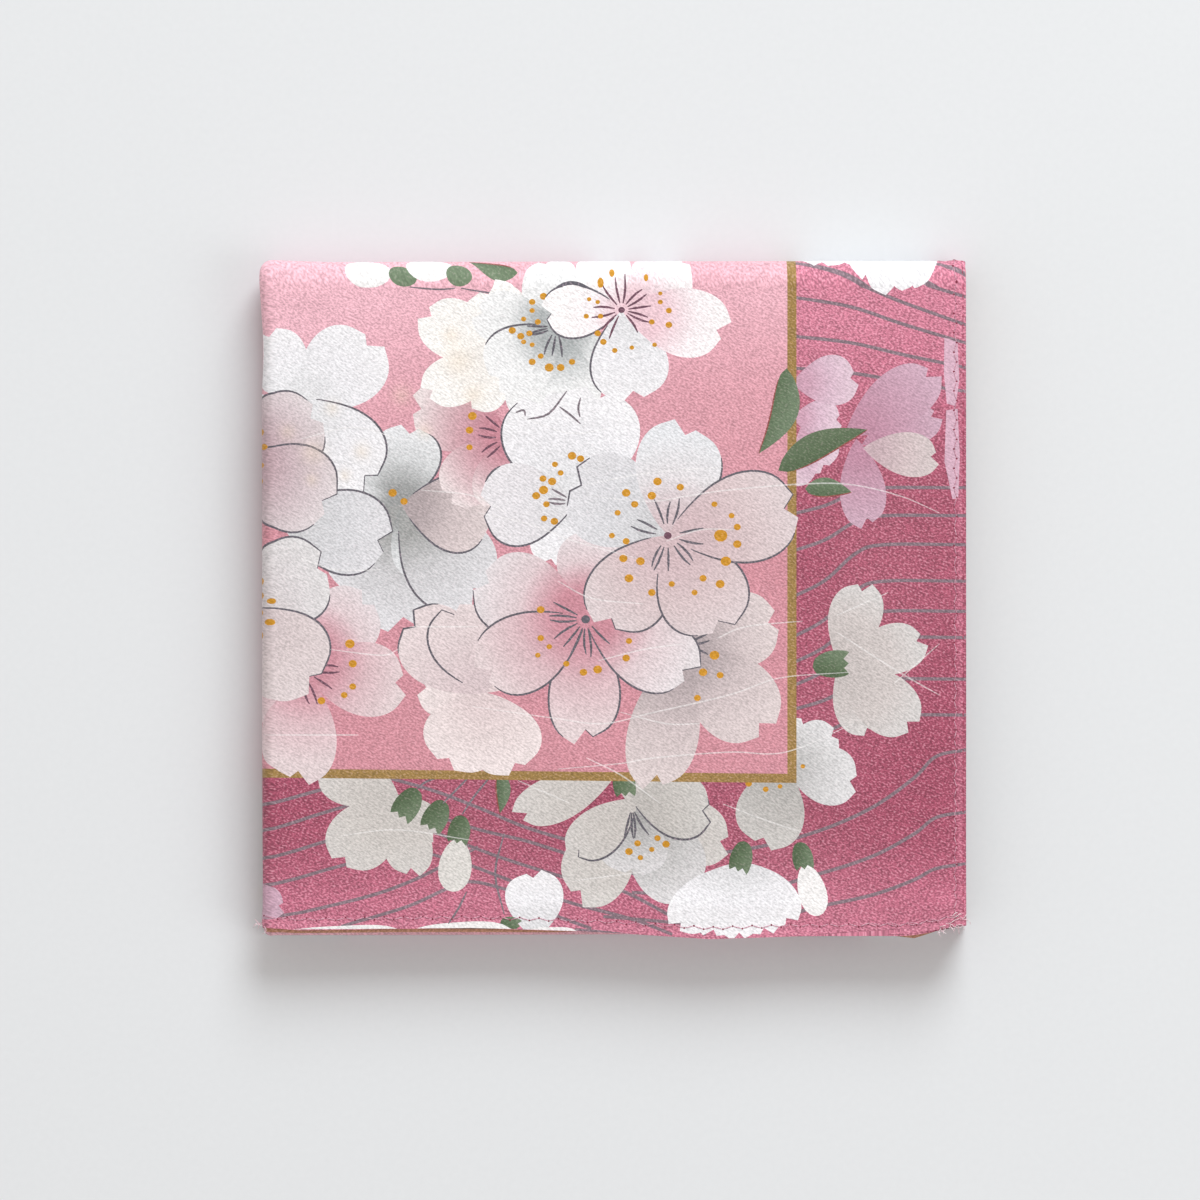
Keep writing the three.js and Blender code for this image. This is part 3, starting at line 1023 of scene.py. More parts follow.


# Lines woven into the cloth, which run across the print; their sheen is painted in as a paler colour
WOVEN_LINES = [
    [(38, 74), (47, 72), (55, 69), (66, 66)],
    [(57, 77), (68, 76), (75, 77), (82, 78), (94, 79), (103, 79), (112, 77), (119, 74)],
    [(71, 69), (77, 71), (83, 71)], [(59, 48), (67, 50), (74, 51)],
    [(37, 40), (51, 38), (60, 37), (69, 39), (82, 42), (91, 45), (103, 46)],
    [(63, 39), (71, 37), (77, 37)], [(80, 52), (85, 54), (95, 55)], [(101, 56), (110, 60)],
    [(101, 53), (112, 46), (119, 42)], [(111, 44), (119, 51)], [(1, 35), (13, 35), (17, 35)],
    [(7, 66), (13, 64), (21, 64)], [(28, 78), (37, 77), (43, 74)], [(26, 54), (31, 54), (38, 54)],
    [(12, 50), (21, 49), (24, 50)], [(52, 29), (63, 30), (69, 31), (82, 32), (92, 32), (104, 37)],
    [(45, 27), (54, 23)], [(57, 31), (63, 28), (70, 23)], [(55, 9), (67, 11)],
    [(81, 23), (89, 20), (95, 18)], [(14, 17), (24, 18), (37, 16)], [(57, 79), (68, 81), (81, 82)],
    [(7, 87), (16, 89), (24, 87)], [(45, 91), (54, 88), (62, 89)], [(52, 62), (58, 59), (67, 58)],
]
WOVEN_WIDTH = 0.26
WOVEN_MIRROR = 2.02 * PACK_DEPTH  # twice as far up as the fold on which they are mirrored


def woven_outlines():
    """The lines on the top, and again on the underside, where the cloth turns back."""
    outlines = []
    for line in WOVEN_LINES:
        outlines.append(stroke_outline(curve_through(line, 10), WOVEN_WIDTH))
        turned_back = [(x, WOVEN_MIRROR - y) for x, y in line]
        outlines.append(stroke_outline(curve_through(turned_back, 6), WOVEN_WIDTH))
    return outlines


def print_underside():
    """What shows when the pack is turned over: the same flowers, fewer and further apart."""
    for x, y, size, turn, shades in [
        (30, 150, 19, 10, PINK),
        (62, 168, 21, 40, BLUSH),
        (22, 190, 18, 65, MIST),
        (60, 206, 20, 5, PINK),
        (84, 136, 16, 30, SNOW),
        (92, 190, 15, 50, MIST),
        (8, 224, 18, 20, ROSY),
        (44, 132, 13, 55, SNOW),
    ]:
        inks = ((), (0.1, 0.44))
        petals = [(turn + 72 * k, size * (1 - 0.06 * (k % 2)), 0.8, inks[k % 2]) for k in range(5)]
        add_blossom((x, y), shades, petals)
        add_stamens((x, y), range(turn, turn + 360, 30), 1.0, 0.28 * size)
        turns = [math.radians(turn + 33 * k) for k in range(11)]
        reaches = [0.42 * size + 0.7 * (k % 3) for k in range(11)]
        add_anthers([(x + r * math.cos(t), y + r * math.sin(t)) for r, t in zip(reaches, turns)])
    for x, y, angle in [(110, 150, 95), (108, 196, 80), (112, 226, 100)]:
        add_blossom((x, y), SIDE, [(angle + turn, 12.5, 0.7) for turn in (-50, 50, 0)])
        add_calyx(x, y - 0.8, angle, 5.4)


HOLE_RADIUS = 0.19
# Fine marks along the right edge: how far in, from how high up, and how long and wide
EDGE_MARK = {"inset": 0.5, "first": 2.6, "length": 0.9, "bow": 0.05, "width": 0.24}


def print_needle_holes():
    """Small dots of painted shade in the needle holes, one at each end of each stitch of the two hems
    that show.
    """
    for x, y in hem_needle_points():
        if y < PACK_DEPTH and x > 0:
            # A dot of painted shade where the needle went through
            add_dot(x, y, HOLE_RADIUS, HOLE_SHADE)
    x = PACK_WIDTH - EDGE_MARK["inset"]
    for k in range(int(PACK_DEPTH / STITCH)):
        y = EDGE_MARK["first"] + STITCH * k
        middle = (x - EDGE_MARK["bow"], y + EDGE_MARK["length"] / 2)
        add_stroke([(x, y), middle, (x, y + EDGE_MARK["length"])], EDGE_MARK["width"], HOLE_SOFT)


def hem_needle_points():
    """The zigzag's corners along the right hem and then the near one."""
    points = []
    for k in range(int(2 * PACK_DEPTH / STITCH)):
        swing = STITCH_SWING * (1 if k % 2 else -1)
        points.append((PACK_WIDTH - STITCH_FROM_EDGE - swing, STITCH_FROM_EDGE + STITCH * k))
    points.reverse()
    for k in range(int((PACK_WIDTH - 1) / STITCH)):
        swing = STITCH_SWING * (1 if k % 2 else -1)
        points.append((PACK_WIDTH - STITCH_FROM_EDGE - STITCH * k, STITCH_FROM_EDGE + swing))
    return points


# The cloth's mesh


def clipped(outline):
    """The part of an outline that lies on the cloth, a little inside its edge."""
    limits = [
        (0, LEFT_END + RIM_INSET, 1),
        (0, RIGHT_END - RIM_INSET, -1),
        (1, RIM_INSET, 1),
        (1, CLOTH_UP - RIM_INSET, -1),
    ]
    points = list(outline)
    for axis, limit, sign in limits:
        kept = []
        for a, b in zip(points, points[1:] + points[:1]):
            inside_a = sign * (a[axis] - limit) >= 0
            inside_b = sign * (b[axis] - limit) >= 0
            if inside_a:
                kept.append(a)
            if inside_a != inside_b:
                share = (limit - a[axis]) / (b[axis] - a[axis])
                kept.append(a + share * (b - a))
        points = kept
        if len(points) < 3:
            return None
    return np.asarray(points)


def bend_stations(fold, mirror_of=None):
    """Where the cloth is divided round a fold. A fold made later bends it a second time, mirrored."""
    stations = fold.start + fold.arc * np.linspace(0, 1, fold.steps + 1)
    if mirror_of:
        stations = 2 * mirror_of.start + mirror_of.arc - stations
    return stations


ACROSS_BENDS = np.concatenate(
    [bend_stations(LEFT_FOLD), bend_stations(RIGHT_FOLD), bend_stations(LEFT_FOLD, RIGHT_FOLD)]
)
UP_BENDS = np.concatenate(
    [bend_stations(FAR_FOLD), bend_stations(NEAR_FOLD), bend_stations(FAR_FOLD, NEAR_FOLD)]
)
BEND_XS = np.sort(PACK_WIDTH - ACROSS_BENDS)
BEND_YS = np.sort(UP_BENDS)

# How finely each region is divided: the top panel, the underside and the rest
TOP_PITCH = 1.05
UNDERSIDE_PITCH = 2.2
HIDDEN_PITCH = 9.0
WRONG_SIDE_PITCH = 2.6
HEM_PITCH = 0.45
WRONG_HEM_PITCH = 1.0
RIM_PITCH = 0.8
BEND_PITCH = 3.5
# How far past the left and far folds the top panel's fine pitch goes on, and the rim's
PAST_LEFT = 6
PAST_FAR = 8
RIM_PAST_LEFT = 8
RIM_PAST_FAR = 10
# The hem's own grid keeps this far from the edge, and goes this far past the hem
HEM_GRID_INSET = 0.3
HEM_GRID_PAST = 0.6
# How close a station may come to a bend, and a free point to the edge and to a fixed point
BEND_CLEARANCE = 0.12
EDGE_CLEARANCE = 0.25
FREE_CLEARANCE = {"printed": 0.33, "wrong": 0.5}


def axis_stations(low, high, pitch):
    return np.linspace(low, high, max(2, int(round((high - low) / pitch)) + 1))


def rim_stations(low, high, bends, fine_from, fine_to):
    """Points along one edge of the cloth, closer together where that edge shows."""
    rough = axis_stations(low, high, HIDDEN_PITCH)
    rough = rough[(rough < fine_from) | (rough > fine_to) | (rough == low) | (rough == high)]
    fine = axis_stations(max(low, fine_from), min(high, fine_to), RIM_PITCH)
    others = np.concatenate([rough, fine])
    spaced = [v for v in others if np.min(np.abs(bends - v)) > BEND_CLEARANCE or v in (low, high)]
    return np.unique(np.round(np.concatenate([spaced, bends]), 4))


def rim_points():
    """The cloth's edge, anticlockwise from its left end at the near hem."""
    xs = rim_stations(LEFT_END, RIGHT_END, BEND_XS, -RIM_PAST_LEFT, RIGHT_END)
    ys = rim_stations(0, CLOTH_UP, BEND_YS, 0, PACK_DEPTH + RIM_PAST_FAR)
    near = [(x, 0) for x in xs[:-1]]
    right = [(RIGHT_END, y) for y in ys[:-1]]
    far = [(x, CLOTH_UP) for x in xs[:0:-1]]
    left = [(LEFT_END, y) for y in ys[:0:-1]]
    return np.asarray(near + right + far + left)


def grid(x0, x1, y0, y1, pitch_x, pitch_y):
    """Points over a region, every other row shifted by half a pitch."""
    xs = axis_stations(x0, x1, pitch_x)
    ys = axis_stations(y0, y1, pitch_y)
    rows = []
    for k, y in enumerate(ys):
        shift = 0.5 * (xs[1] - xs[0]) if k % 2 else 0.0
        rows.append(points_from(xs + shift, np.full_like(xs, y)))
    return np.vstack(rows)


def inner_points(printed_side):
    """Free points inside the cloth, for one side or the other."""
    top = TOP_PITCH if printed_side else WRONG_SIDE_PITCH
    under = UNDERSIDE_PITCH if printed_side else HIDDEN_PITCH / 2
    hem = HEM_PITCH if printed_side else WRONG_HEM_PITCH
    top_end = PACK_DEPTH + PAST_FAR
    inset = HEM_GRID_INSET
    hem_end = HEM_WIDTH + HEM_GRID_PAST
    right_hem = RIGHT_END - HEM_WIDTH - HEM_GRID_PAST
    regions = [
        grid(LEFT_END, RIGHT_END, 0, CLOTH_UP, HIDDEN_PITCH, HIDDEN_PITCH),
        grid(-PAST_LEFT, RIGHT_END, 0, top_end, top, top),
        grid(0, RIGHT_END, top_end, 2 * PACK_DEPTH, under, under),
        grid(-PAST_LEFT, RIGHT_END, inset, hem_end, 2 * hem, hem),
        grid(right_hem, RIGHT_END - inset, 0, top_end, hem, 2 * hem),
    ]
    return np.vstack(regions)


def thin_out(points, fixed, reach):
    """Leaves out free points that lie close to a fixed one, or beyond the cloth."""
    tree = KDTree(len(fixed))
    for i, (x, y) in enumerate(fixed):
        tree.insert((x, y, 0), i)
    tree.balance()
    kept = []
    for x, y in points:
        on_cloth = LEFT_END + EDGE_CLEARANCE < x < RIGHT_END - EDGE_CLEARANCE
        on_cloth = on_cloth and EDGE_CLEARANCE < y < CLOTH_UP - EDGE_CLEARANCE
        if on_cloth and tree.find((x, y, 0))[2] > reach:
            kept.append((x, y))
    return np.asarray(kept)


MERGE_REACH = 0.004


def triangulate(rim, shapes, free):
    """Divides the flat cloth into triangles that keep to every outline and bend.

    Gives the points, the triangles, and for each triangle the shapes that cover it.
    """
    points = [tuple(p) for p in rim]
    count = len(rim)
    edges = [(i, (i + 1) % count) for i in range(count)]
    lines = [[(x, y) for y in axis_stations(0, CLOTH_UP, BEND_PITCH)] for x in BEND_XS]
    lines += [[(x, y) for x in axis_stations(LEFT_END, RIGHT_END, BEND_PITCH)] for y in BEND_YS]
    for line in lines:
        first = len(points)
        points += line
        edges += [(first + k, first + k + 1) for k in range(len(line) - 1)]
    faces = []
    for outline in shapes:
        first = len(points)
        points += [tuple(p) for p in outline]
        faces.append(list(range(first, len(points))))
    points += [tuple(p) for p in free]
    result = delaunay_2d_cdt([Vector(p) for p in points], edges, faces, 0, MERGE_REACH)
    flat, _, triangles, _, _, covering = result
    flat = np.asarray([(p.x, p.y) for p in flat])
    return flat, np.asarray([tuple(t) for t in triangles]), covering


# The bake layout: the top panel takes most of the square
BAKE_TOP_SHARE = 0.74
BAKE_PAST_LEFT = 5
BAKE_MARGIN = 0.005
BAKE_SPAN = 0.99
BAKE_PRINTED = (0.10, 0.995)
BAKE_WRONG = (0.03, 0.09)
BAKE_RIM = (0.005, 0.02)


def squeezed(value, shown_from, shown_to, low, high):
    """Spreads a range over 0 to 1, with the stretch that shows taking most of it."""
    before = max(shown_from - low, 0)
    after = max(high - shown_to, 0)
    first = (1 - BAKE_TOP_SHARE) * before / (before + after)
    return np.interp(value, [low, shown_from, shown_to, high], [0, first, first + BAKE_TOP_SHARE, 1])


def bake_place(flat, band):
    u = squeezed(flat[:, 0], -BAKE_PAST_LEFT, RIGHT_END, LEFT_END, RIGHT_END + 1e-6)
    v = squeezed(flat[:, 1], -1e-6, PACK_DEPTH + PAST_FAR, -1e-6, CLOTH_UP)
    return points_from(BAKE_MARGIN + BAKE_SPAN * u, band[0] + (band[1] - band[0]) * v)


def build_cloth():
    """The whole sheet: printed side, wrong side and the edge that joins them."""
    rim = rim_points()
    outlines = []
    paints = []
    for outline, paint in printed:
        outline = clipped(outline)
        if outline is not None:
            outlines.append(outline)
            paints.append(paint)
    shapes = outlines + [clipped(outline) for outline in woven_outlines()]
    free = thin_out(inner_points(True), np.vstack([rim] + shapes), FREE_CLEARANCE["printed"])
    flat_p, tri_p, covering = triangulate(rim, shapes, free)
    count = len(outlines)
    top = np.asarray([max((k for k in ids if k < count), default=-1) for ids in covering])
    on_line = np.asarray([any(k >= count for k in ids) for ids in covering])
    free = thin_out(inner_points(False), rim, FREE_CLEARANCE["wrong"])
    flat_w, tri_w, _ = triangulate(rim, [], free)
    return assemble(flat_p, tri_p, (top, on_line), paints, flat_w, tri_w)


def rim_loop(triangles):
    """The vertices round the edge of a triangulation, in order."""
    sides = {}
    for a, b, c in triangles:
        for pair in ((a, b), (b, c), (c, a)):
            sides[pair] = True
    follow = {a: b for a, b in sides if (b, a) not in sides}
    start = next(iter(follow))
    loop = [start]
    while follow[loop[-1]] != start:
        loop.append(follow[loop[-1]])
    return loop


def assemble(flat_p, tri_p, covers, paints, flat_w, tri_w):
    """The mesh of both sides and their edge, from the flat points and triangles of each side."""
    count = len(flat_p)
    height_p = CLOTH + hem_relief(*flat_p.T)
    height_w = -0.5 * np.maximum(hem_relief(*flat_w.T), 0)
    places = np.vstack([place(*flat_p.T, height_p), place(*flat_w.T, height_w)])

    loop_p = rim_loop(tri_p)
    loop_w = rim_loop(tri_w)
    spot = {tuple(np.round(flat_w[i], 3)): k for k, i in enumerate(loop_w)}
    shift = spot[tuple(np.round(flat_p[loop_p[0]], 3))]
    loop_w = loop_w[shift:] + loop_w[:shift]
    edge_faces = []
    for k, (a, b) in enumerate(zip(loop_p, loop_p[1:] + loop_p[:1])):
        c = loop_w[(k + 1) % len(loop_w)] + count
        d = loop_w[k] + count
        edge_faces += [(b, a, d), (b, d, c)]

    tri_w = tri_w[:, ::-1]
    faces = np.vstack([tri_p, tri_w + count, edge_faces])
    mesh = bpy.data.meshes.new("printed_cloth")
    mesh.from_pydata(places.tolist(), [], faces.tolist())
    mesh.update()

    corners_p = flat_p[tri_p.reshape(-1)]
    corners_w = flat_w[tri_w.reshape(-1)]
    edge_starts = flat_p[[face[0] for face in edge_faces]]
    paint_mesh(mesh, corners_p, corners_w, edge_starts, covers, paints)
    lay_out_mesh(mesh, corners_p, corners_w, flat_p[loop_p])
    smooth_mesh(mesh, flat_p, height_p, flat_w, height_w)
    return mesh


# Faint yellowish stains on the white blossoms: where, and how large
STAINS = [(24.6, 94.6, 1.6), (12.4, 92.4, 1.1), (9.0, 84.6, 2.0), (17.6, 84.8, 1.3)]
STAINS += [(8.8, 79.8, 1.0), (34.5, 100.6, 2.6), (37.2, 94.6, 1.9), (33.2, 105.2, 1.4)]
STAINS += [(14.6, 80.6, 1.0), (28.6, 88.4, 1.2), (4.6, 88.2, 1.3)]
STAIN_SHARE = 0.36
STAIN_LIMIT = 0.6

# How much white a woven line adds as its painted sheen, how much the wrong side and the cut edge
# add, and the wrong side's grain
WOVEN_SHEEN_WHITE = 0.46
WRONG_SIDE_WHITE = 0.35
EDGE_WHITE = 0.12
WRONG_SIDE_GRAIN = 0.6


def stained(points, shade):
    """Yellows the print a little round each stain."""
    share = np.zeros(len(points))
    for x, y, reach in STAINS:
        distance = (points[:, 0] - x) ** 2 + (points[:, 1] - y) ** 2
        share += STAIN_SHARE * np.exp(-distance / reach**2)
    return mix(shade, STAIN, np.minimum(share, STAIN_LIMIT))


def corner_colours(shade, grain):
    """Each corner's colour as light, with the grain's strength as the alpha."""
    colours = np.ones((len(shade), 4))
    colours[:, :3] = linear(shade)
    colours[:, 3] = grain
    return colours


def paint_printed_side(corners, covers, paints):
    shape_of, on_line = (np.repeat(each, 3) for each in covers)
    colours = corner_colours(*border_paint(corners))
    for k, paint in enumerate(paints):
        chosen = shape_of == k
        if chosen.any():
            shade, grain = paint(corners[chosen])
            colours[chosen] = corner_colours(stained(corners[chosen], shade), grain)
    # The woven lines' sheen is painted: their colour is drawn towards white
    colours[on_line, :3] += WOVEN_SHEEN_WHITE * (linear(WHITE) - colours[on_line, :3])
    return colours


def paint_wrong_side(corners):
    """The ground's colours show palely through to the wrong side."""
    x, y = corners.T
    inside = (x < RIGHT_END - FRAME_FROM_RIGHT) & (y > FRAME_FROM_NEAR)
    inside &= (x > LEFT_END + FRAME_FROM_RIGHT) & (y < CLOTH_UP - FRAME_FROM_NEAR)
    shade = np.where(inside[:, None], field_paint(corners)[0], border_paint(corners)[0])
    return corner_colours(mix(shade, WHITE, WRONG_SIDE_WHITE), WRONG_SIDE_GRAIN)


def paint_mesh(mesh, corners_p, corners_w, edge_starts, covers, paints):
    edge = mix(border_paint(edge_starts)[0], WHITE, EDGE_WHITE)
    values = np.vstack(
        [
            paint_printed_side(corners_p, covers, paints),
            paint_wrong_side(corners_w),
            corner_colours(np.repeat(edge, 3, axis=0), 1.0),
        ]
    )
    layer = mesh.color_attributes.new("print", "FLOAT_COLOR", "CORNER")
    layer.data.foreach_set("color", values.astype(np.float32).ravel())


def lay_out_mesh(mesh, corners_p, corners_w, rim):
    """One map holds the flat cloth in metres for the weave, and one the layout for baking."""
    low, high = BAKE_RIM
    total = len(rim)
    bake_rim = []
    for k in range(total):
        u0, u1 = (BAKE_MARGIN + BAKE_SPAN * end / total for end in (k, k + 1))
        bake_rim += [(u1, high), (u0, high), (u0, low), (u1, high), (u0, low), (u1, low)]
    bake = np.vstack([bake_place(corners_p, BAKE_PRINTED), bake_place(corners_w, BAKE_WRONG), bake_rim])
    weave = np.vstack([corners_p, corners_w, np.repeat(rim, 6, axis=0)]) * MM
    for name, values in (("OFBake", bake), ("weave", weave)):
        layer = mesh.uv_layers.new(name=name)
        layer.data.foreach_set("uv", values.astype(np.float32).ravel())


def smooth_mesh(mesh, flat_p, height_p, flat_w, height_w):
    """Gives the mesh the folded sheet's own normals."""
    printed_side = normals_of(*flat_p.T, height_p)
    wrong_side = -normals_of(*flat_w.T, height_w)
    mesh.polygons.foreach_set("use_smooth", np.ones(len(mesh.polygons), bool))
    mesh.normals_split_custom_set_from_vertices(np.vstack([printed_side, wrong_side]).tolist())


# Thread


def add_tube(vertices, faces, path, radius, sides=6):
    """Adds a closed round thread along a path of points."""
    path = np.asarray(path)
    run = np.gradient(path, axis=0)
    run /= np.linalg.norm(run, axis=1, keepdims=True)
    up = np.array([0.0, 0.0, 1.0])
    first = len(vertices)
    for k, (centre, along) in enumerate(zip(path, run)):
        side = np.cross(along, up)
        side /= np.linalg.norm(side) + 1e-12
        above = np.cross(side, along)
        share = k / (len(path) - 1)
        thick = radius * (0.55 + 0.45 * math.sin(math.pi * share))
        for s in range(sides):
            angle = 2 * math.pi * s / sides
            vertices.append(tuple(centre + thick * (math.cos(angle) * side + math.sin(angle) * above)))
    for k in range(len(path) - 1):
        for s in range(sides):
            a = first + k * sides + s
            b = first + k * sides + (s + 1) % sides
            faces.append((a, b, b + sides, a + sides))
    faces.append(tuple(first + s for s in range(sides))[::-1])
    last = first + (len(path) - 1) * sides
    faces.append(tuple(last + s for s in range(sides)))


THREAD_RADIUS = 0.08


def stitch_path(a, b):
    """One stitch lies on the cloth and dives into it at both ends."""
    shares = np.linspace(0, 1, 7)
    x = a[0] + (b[0] - a[0]) * shares
    y = a[1] + (b[1] - a[1]) * shares
    rise = THREAD_RADIUS * (1.5 * np.sin(math.pi * shares) ** 0.6 - 0.9)
    return place(x, y, CLOTH + hem_relief(x, y) + rise)


# The stitches that the machine sewed back over, and how far beside them the second ones lie
SEWN_TWICE = range(-72, -62)
SEWN_BESIDE = (0.45, 0.2)


def build_stitches():
    vertices = []
    faces = []
    points = hem_needle_points()
    for a, b in zip(points, points[1:]):
        add_tube(vertices, faces, stitch_path(a, b), THREAD_RADIUS * MM)
    for k in SEWN_TWICE:
        a, b = (np.add(points[i], SEWN_BESIDE) for i in (k, k + 1))
        add_tube(vertices, faces, stitch_path(a, b), THREAD_RADIUS * MM)
    return new_mesh("hem_stitches", vertices, faces)


# Tufts of loose thread: where, towards which angle, and how many
TUFTS = [(122.9, 1.1, -10, 9), (122.2, 0.3, -55, 8), (120.4, 0.1, -75, 6), (1.2, 0.3, 215, 5)]
LOOSE_THREAD = {
    "radius": 0.075,
    "length": 1.3,
    "uneven": 0.6,
    "fan": 46,
    "curl": 0.5,
    "rise": 0.12,
    "apart": (-0.3, 0.12),
    "lift": 0.1,
}


def loose_path(root, turn, length, start):
    """A thread end that leaves its root along a turn, curling to one side and rising in a wave."""
    shares = np.linspace(0, 1, 6)
    curl = LOOSE_THREAD["curl"] * np.sin(math.pi * shares + start)
    x = shares * length * math.cos(turn) - curl * math.sin(turn)
    y = shares * length * math.sin(turn) + curl * math.cos(turn)
    z = LOOSE_THREAD["rise"] * np.sin(2 * math.pi * shares + start)
    path = np.stack([x, y, z], axis=-1)
    return root + (path - path[0]) * MM


def build_loose_threads():
    """Short frayed ends at the hemmed corner and at the left end of the near hem."""
    vertices = []
    faces = []
    step_x, step_y = LOOSE_THREAD["apart"]
    height = np.array([CLOTH + LOOSE_THREAD["lift"]])
    for x, y, angle, count in TUFTS:
        for k in range(count):
            turn = math.radians(angle + LOOSE_THREAD["fan"] * math.sin(3.7 * k + x))
            length = LOOSE_THREAD["length"] + LOOSE_THREAD["uneven"] * math.sin(2.3 * k + y)
            root = place(np.array([x + step_x * k]), np.array([y + step_y * k]), height)[0]
            path = loose_path(root, turn, length, k)
            add_tube(vertices, faces, path, LOOSE_THREAD["radius"] * MM, sides=5)
    return new_mesh("loose_threads", vertices, faces)


def new_mesh(name, vertices, faces):
    mesh = bpy.data.meshes.new(name)
    mesh.from_pydata(vertices, [], faces)
    mesh.update()
    mesh.polygons.foreach_set("use_smooth", np.ones(len(mesh.polygons), bool))
    return mesh


# Materials


def node_material(name):
    material = bpy.data.materials.new(name)
    material.use_nodes = True
    tree = material.node_tree
    shader = tree.nodes["Principled BSDF"]
    return material, tree, shader


def math_node(tree, operation, *values):
    node = tree.nodes.new("ShaderNodeMath")
    node.operation = operation
    for socket, value in zip(node.inputs, values):
        if isinstance(value, (int, float)):
            socket.default_value = value
        else:
            tree.links.new(value, socket)
    return node.outputs[0]


def set_inputs(node, values):
    for name, value in values.items():
        node.inputs[name].default_value = value


def noise_node(tree, place_from, scale, detail=2.0, roughness=0.5, stretch=1.0, angle=0.0):
    """Noise over the flat cloth, in repeats a metre. It can be stretched along an angle."""
    mapping = tree.nodes.new("ShaderNodeMapping")
    mapping.vector_type = "TEXTURE"
    set_inputs(mapping, {"Rotation": (0, 0, math.radians(angle)), "Scale": (stretch, 1, 1)})
    tree.links.new(place_from, mapping.inputs["Vector"])
    noise = tree.nodes.new("ShaderNodeTexNoise")
    set_inputs(noise, {"Scale": scale, "Detail": detail, "Roughness": roughness})
    tree.links.new(mapping.outputs[0], noise.inputs["Vector"])
    return noise.outputs["Fac"]


def map_range(tree, value, low, high, to_low=0.0, to_high=1.0):
    node = tree.nodes.new("ShaderNodeMapRange")
    node.interpolation_type = "SMOOTHSTEP"
    set_inputs(node, {"From Min": low, "From Max": high, "To Min": to_low, "To Max": to_high})
    tree.links.new(value, node.inputs["Value"])
    return node.outputs[0]


def mix_colours(tree, share, first, second, blend="MIX"):
    node = tree.nodes.new("ShaderNodeMix")
    node.data_type = "RGBA"
    node.blend_type = blend
    for socket, value in ((node.inputs[0], share), (node.inputs[6], first), (node.inputs[7], second)):
        if isinstance(value, (int, float, tuple)):
            socket.default_value = value
        else:
            tree.links.new(value, socket)
    return node.outputs[2]


# How far the specks, clouds and streaks of the weave change the print's tone, and how much of the
# pale thread shows
TONE = {"speck": 0.30, "cloud": 0.09, "streak": 0.085}
PALE_THREAD = {"share": 0.30, "colour": (0.84, 0.58, 0.66, 1.0)}
COTTON_SHINE = {
    "Roughness": 0.76,
    "Specular IOR Level": 0.35,
    "Sheen Weight": 0.18,
    "Sheen Roughness": 0.5,
}


def add_bump(tree, shader, height, strength, distance):
    bump = tree.nodes.new("ShaderNodeBump")
    set_inputs(bump, {"Strength": strength, "Distance": distance})
    tree.links.new(height, bump.inputs["Height"])
    tree.links.new(bump.outputs[0], shader.inputs["Normal"])


def printed_cotton():
    """The print seen through a fine twill, whose pale threads show here and there."""
    material, tree, shader = node_material("printed_cotton")
    attribute = tree.nodes.new("ShaderNodeAttribute")
    attribute.attribute_name = "print"
    uv = tree.nodes.new("ShaderNodeUVMap")
    uv.uv_map = "weave"
    flat = uv.outputs["UV"]

    twill = noise_node(tree, flat, 2700, detail=1.0, stretch=2.8, angle=-36)
    grain = noise_node(tree, flat, 3300, detail=1.0, stretch=1.5, angle=-20)
    clouds = noise_node(tree, flat, 420, detail=3.0, roughness=0.7)

    # Specks where the dye has taken more or less, and the twill's own streaks
    strength = attribute.outputs["Alpha"]
    streak = map_range(tree, twill, 0.34, 0.66, -1.0, 1.0)
    speck = math_node(tree, "MULTIPLY", map_range(tree, grain, 0.36, 0.64, -1.0, 1.0), strength)
    cloud = math_node(tree, "MULTIPLY", map_range(tree, clouds, 0.3, 0.7, -1.0, 1.0), strength)
    tone = math_node(tree, "MULTIPLY_ADD", speck, TONE["speck"], 1.0)
    tone = math_node(tree, "MULTIPLY_ADD", cloud, TONE["cloud"], tone)
    tone = math_node(tree, "MULTIPLY_ADD", streak, TONE["streak"], tone)
    grey = tree.nodes.new("ShaderNodeCombineColor")
    for socket in grey.inputs[:3]:
        tree.links.new(tone, socket)
    toned = mix_colours(tree, 1.0, attribute.outputs["Color"], grey.outputs[0], "MULTIPLY")
    pale = math_node(tree, "MULTIPLY", map_range(tree, grain, 0.56, 0.68), strength)
    pale = math_node(tree, "MULTIPLY", pale, PALE_THREAD["share"])
    colour = mix_colours(tree, pale, toned, PALE_THREAD["colour"])
    tree.links.new(colour, shader.inputs["Base Color"])

    relief = math_node(tree, "MULTIPLY_ADD", grain, 0.6, twill)
    add_bump(tree, shader, relief, strength=0.75, distance=0.00008)
    set_inputs(shader, COTTON_SHINE)
    return material


def thread_material(name, dark, light):
    """Sewing thread with its own fine twist."""
    material, tree, shader = node_material(name)
    coordinates = tree.nodes.new("ShaderNodeTexCoord")
    twist = noise_node(tree, coordinates.outputs["Object"], 3200, detail=1.0)
    colour = mix_colours(tree, map_range(tree, twist, 0.35, 0.65), dark, light)
    tree.links.new(colour, shader.inputs["Base Color"])
    add_bump(tree, shader, twist, strength=0.5, distance=0.00004)
    set_inputs(shader, {"Roughness": 0.5})
    return material


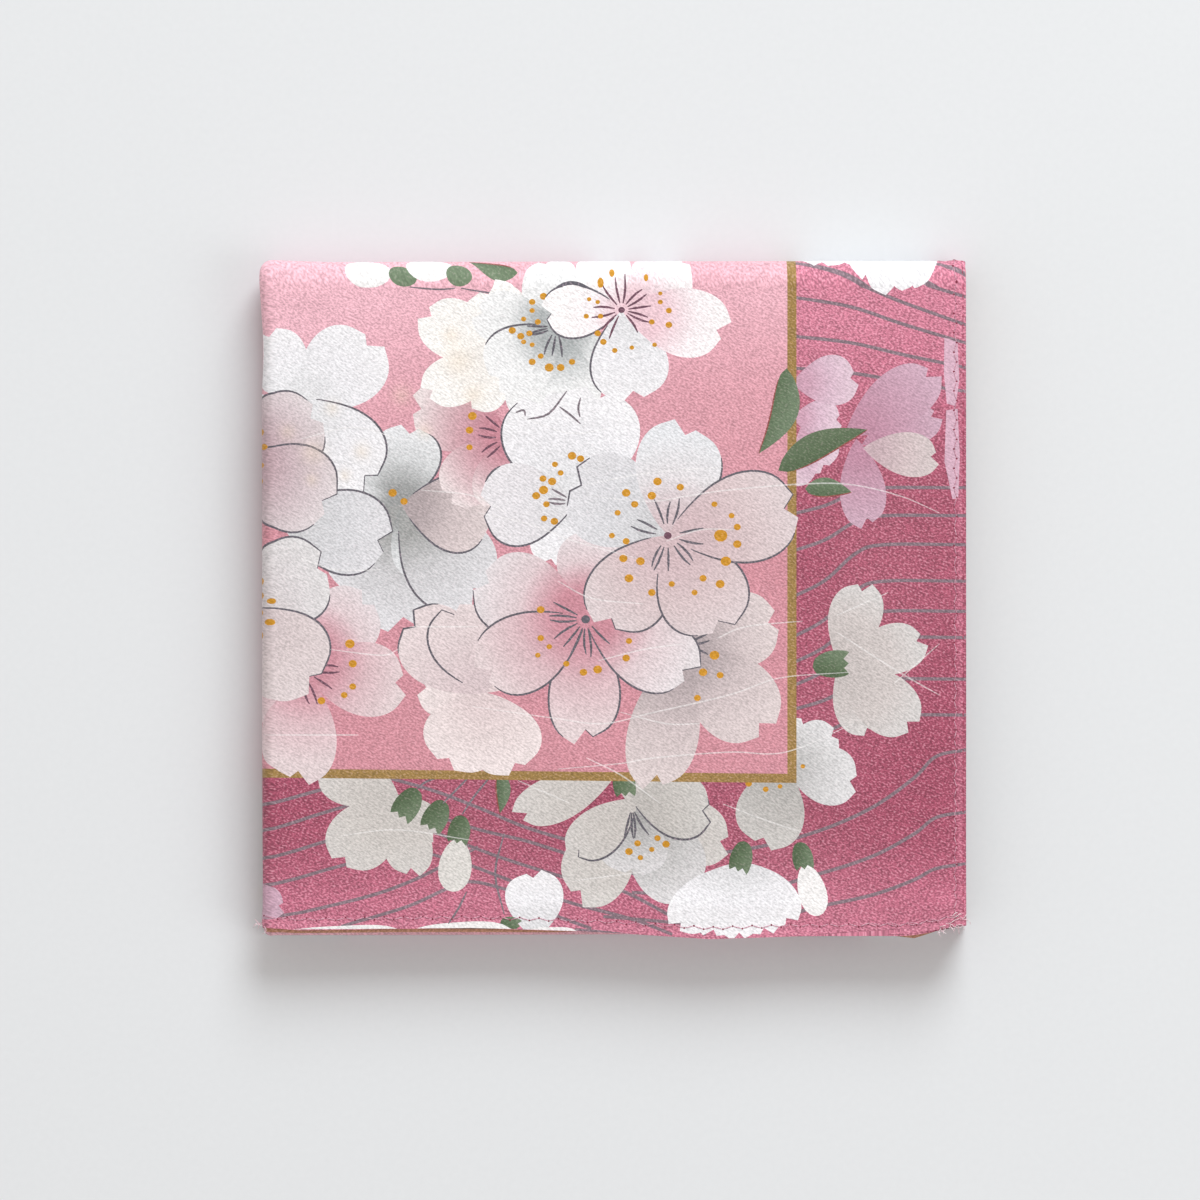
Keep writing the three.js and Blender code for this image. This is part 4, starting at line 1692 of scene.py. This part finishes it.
def studio_floor():
    material, tree, shader = node_material("studio_floor")
    coordinates = tree.nodes.new("ShaderNodeTexCoord")
    tooth = noise_node(tree, coordinates.outputs["Object"], 900, detail=2.0)
    colour = mix_colours(tree, tooth, (0.760, 0.780, 0.800, 1.0), (0.790, 0.810, 0.830, 1.0))
    tree.links.new(colour, shader.inputs["Base Color"])
    set_inputs(shader, {"Roughness": 0.9, "Specular IOR Level": 0.1})
    return material


# Stage and light


def add_floor():
    size = 3.0
    corners = [(-size, -size, 0), (size, -size, 0), (size, size, 0), (-size, size, 0)]
    floor = add_object("floor", new_mesh("floor", corners, [(0, 1, 2, 3)]))
    floor.data.materials.append(studio_floor())


def add_light(name, place_at, size, watts, colour):
    data = bpy.data.lights.new(name, "AREA")
    data.shape = "DISK"
    data.size = size
    data.energy = watts
    data.color = colour
    light = add_object(name, data)
    light.location = place_at
    light.rotation_euler = (-Vector(place_at)).to_track_quat("-Z", "Y").to_euler()


def light_scene():
    """Soft daylight from beyond the far edge, a little more from the right, and pale light all round."""
    add_light("key", (0.6, 2.1, 1.48), size=1.6, watts=57.0, colour=(0.945, 0.985, 1.0))
    add_light("side", (1.3, -0.4, 1.0), size=1.0, watts=4.4, colour=(0.95, 0.98, 1.0))
    world = bpy.data.worlds.new("pale_room")
    world.use_nodes = True
    background = world.node_tree.nodes["Background"]
    set_inputs(background, {"Color": (1.0, 0.942, 0.905, 1.0), "Strength": 0.56})
    bpy.context.scene.world = world
    bpy.context.scene.view_settings.view_transform = "Standard"


def add_piece(name, mesh, material):
    mesh.materials.append(material)
    piece = add_object(name, mesh)
    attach(piece, "root")
    return piece


add_camera()
light_scene()
add_floor()

print_ground()
print_flow_lines()
print_right_border()
print_near_border()
print_field()
print_far_flowers()
print_left_flowers()
print_middle_flowers()
print_large_flowers()
print_underside()
print_needle_holes()

cloth = add_piece("printed_cloth", build_cloth(), printed_cotton())
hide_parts(NODE)
sewing_thread = thread_material("sewing_thread", (0.50, 0.20, 0.29, 1.0), (0.76, 0.46, 0.55, 1.0))
stitches = add_piece("hem_stitches", build_stitches(), sewing_thread)
frayed_cotton = thread_material("frayed_cotton", (0.74, 0.50, 0.56, 1.0), (0.90, 0.80, 0.82, 1.0))
loose_threads = add_piece("loose_threads", build_loose_threads(), frayed_cotton)
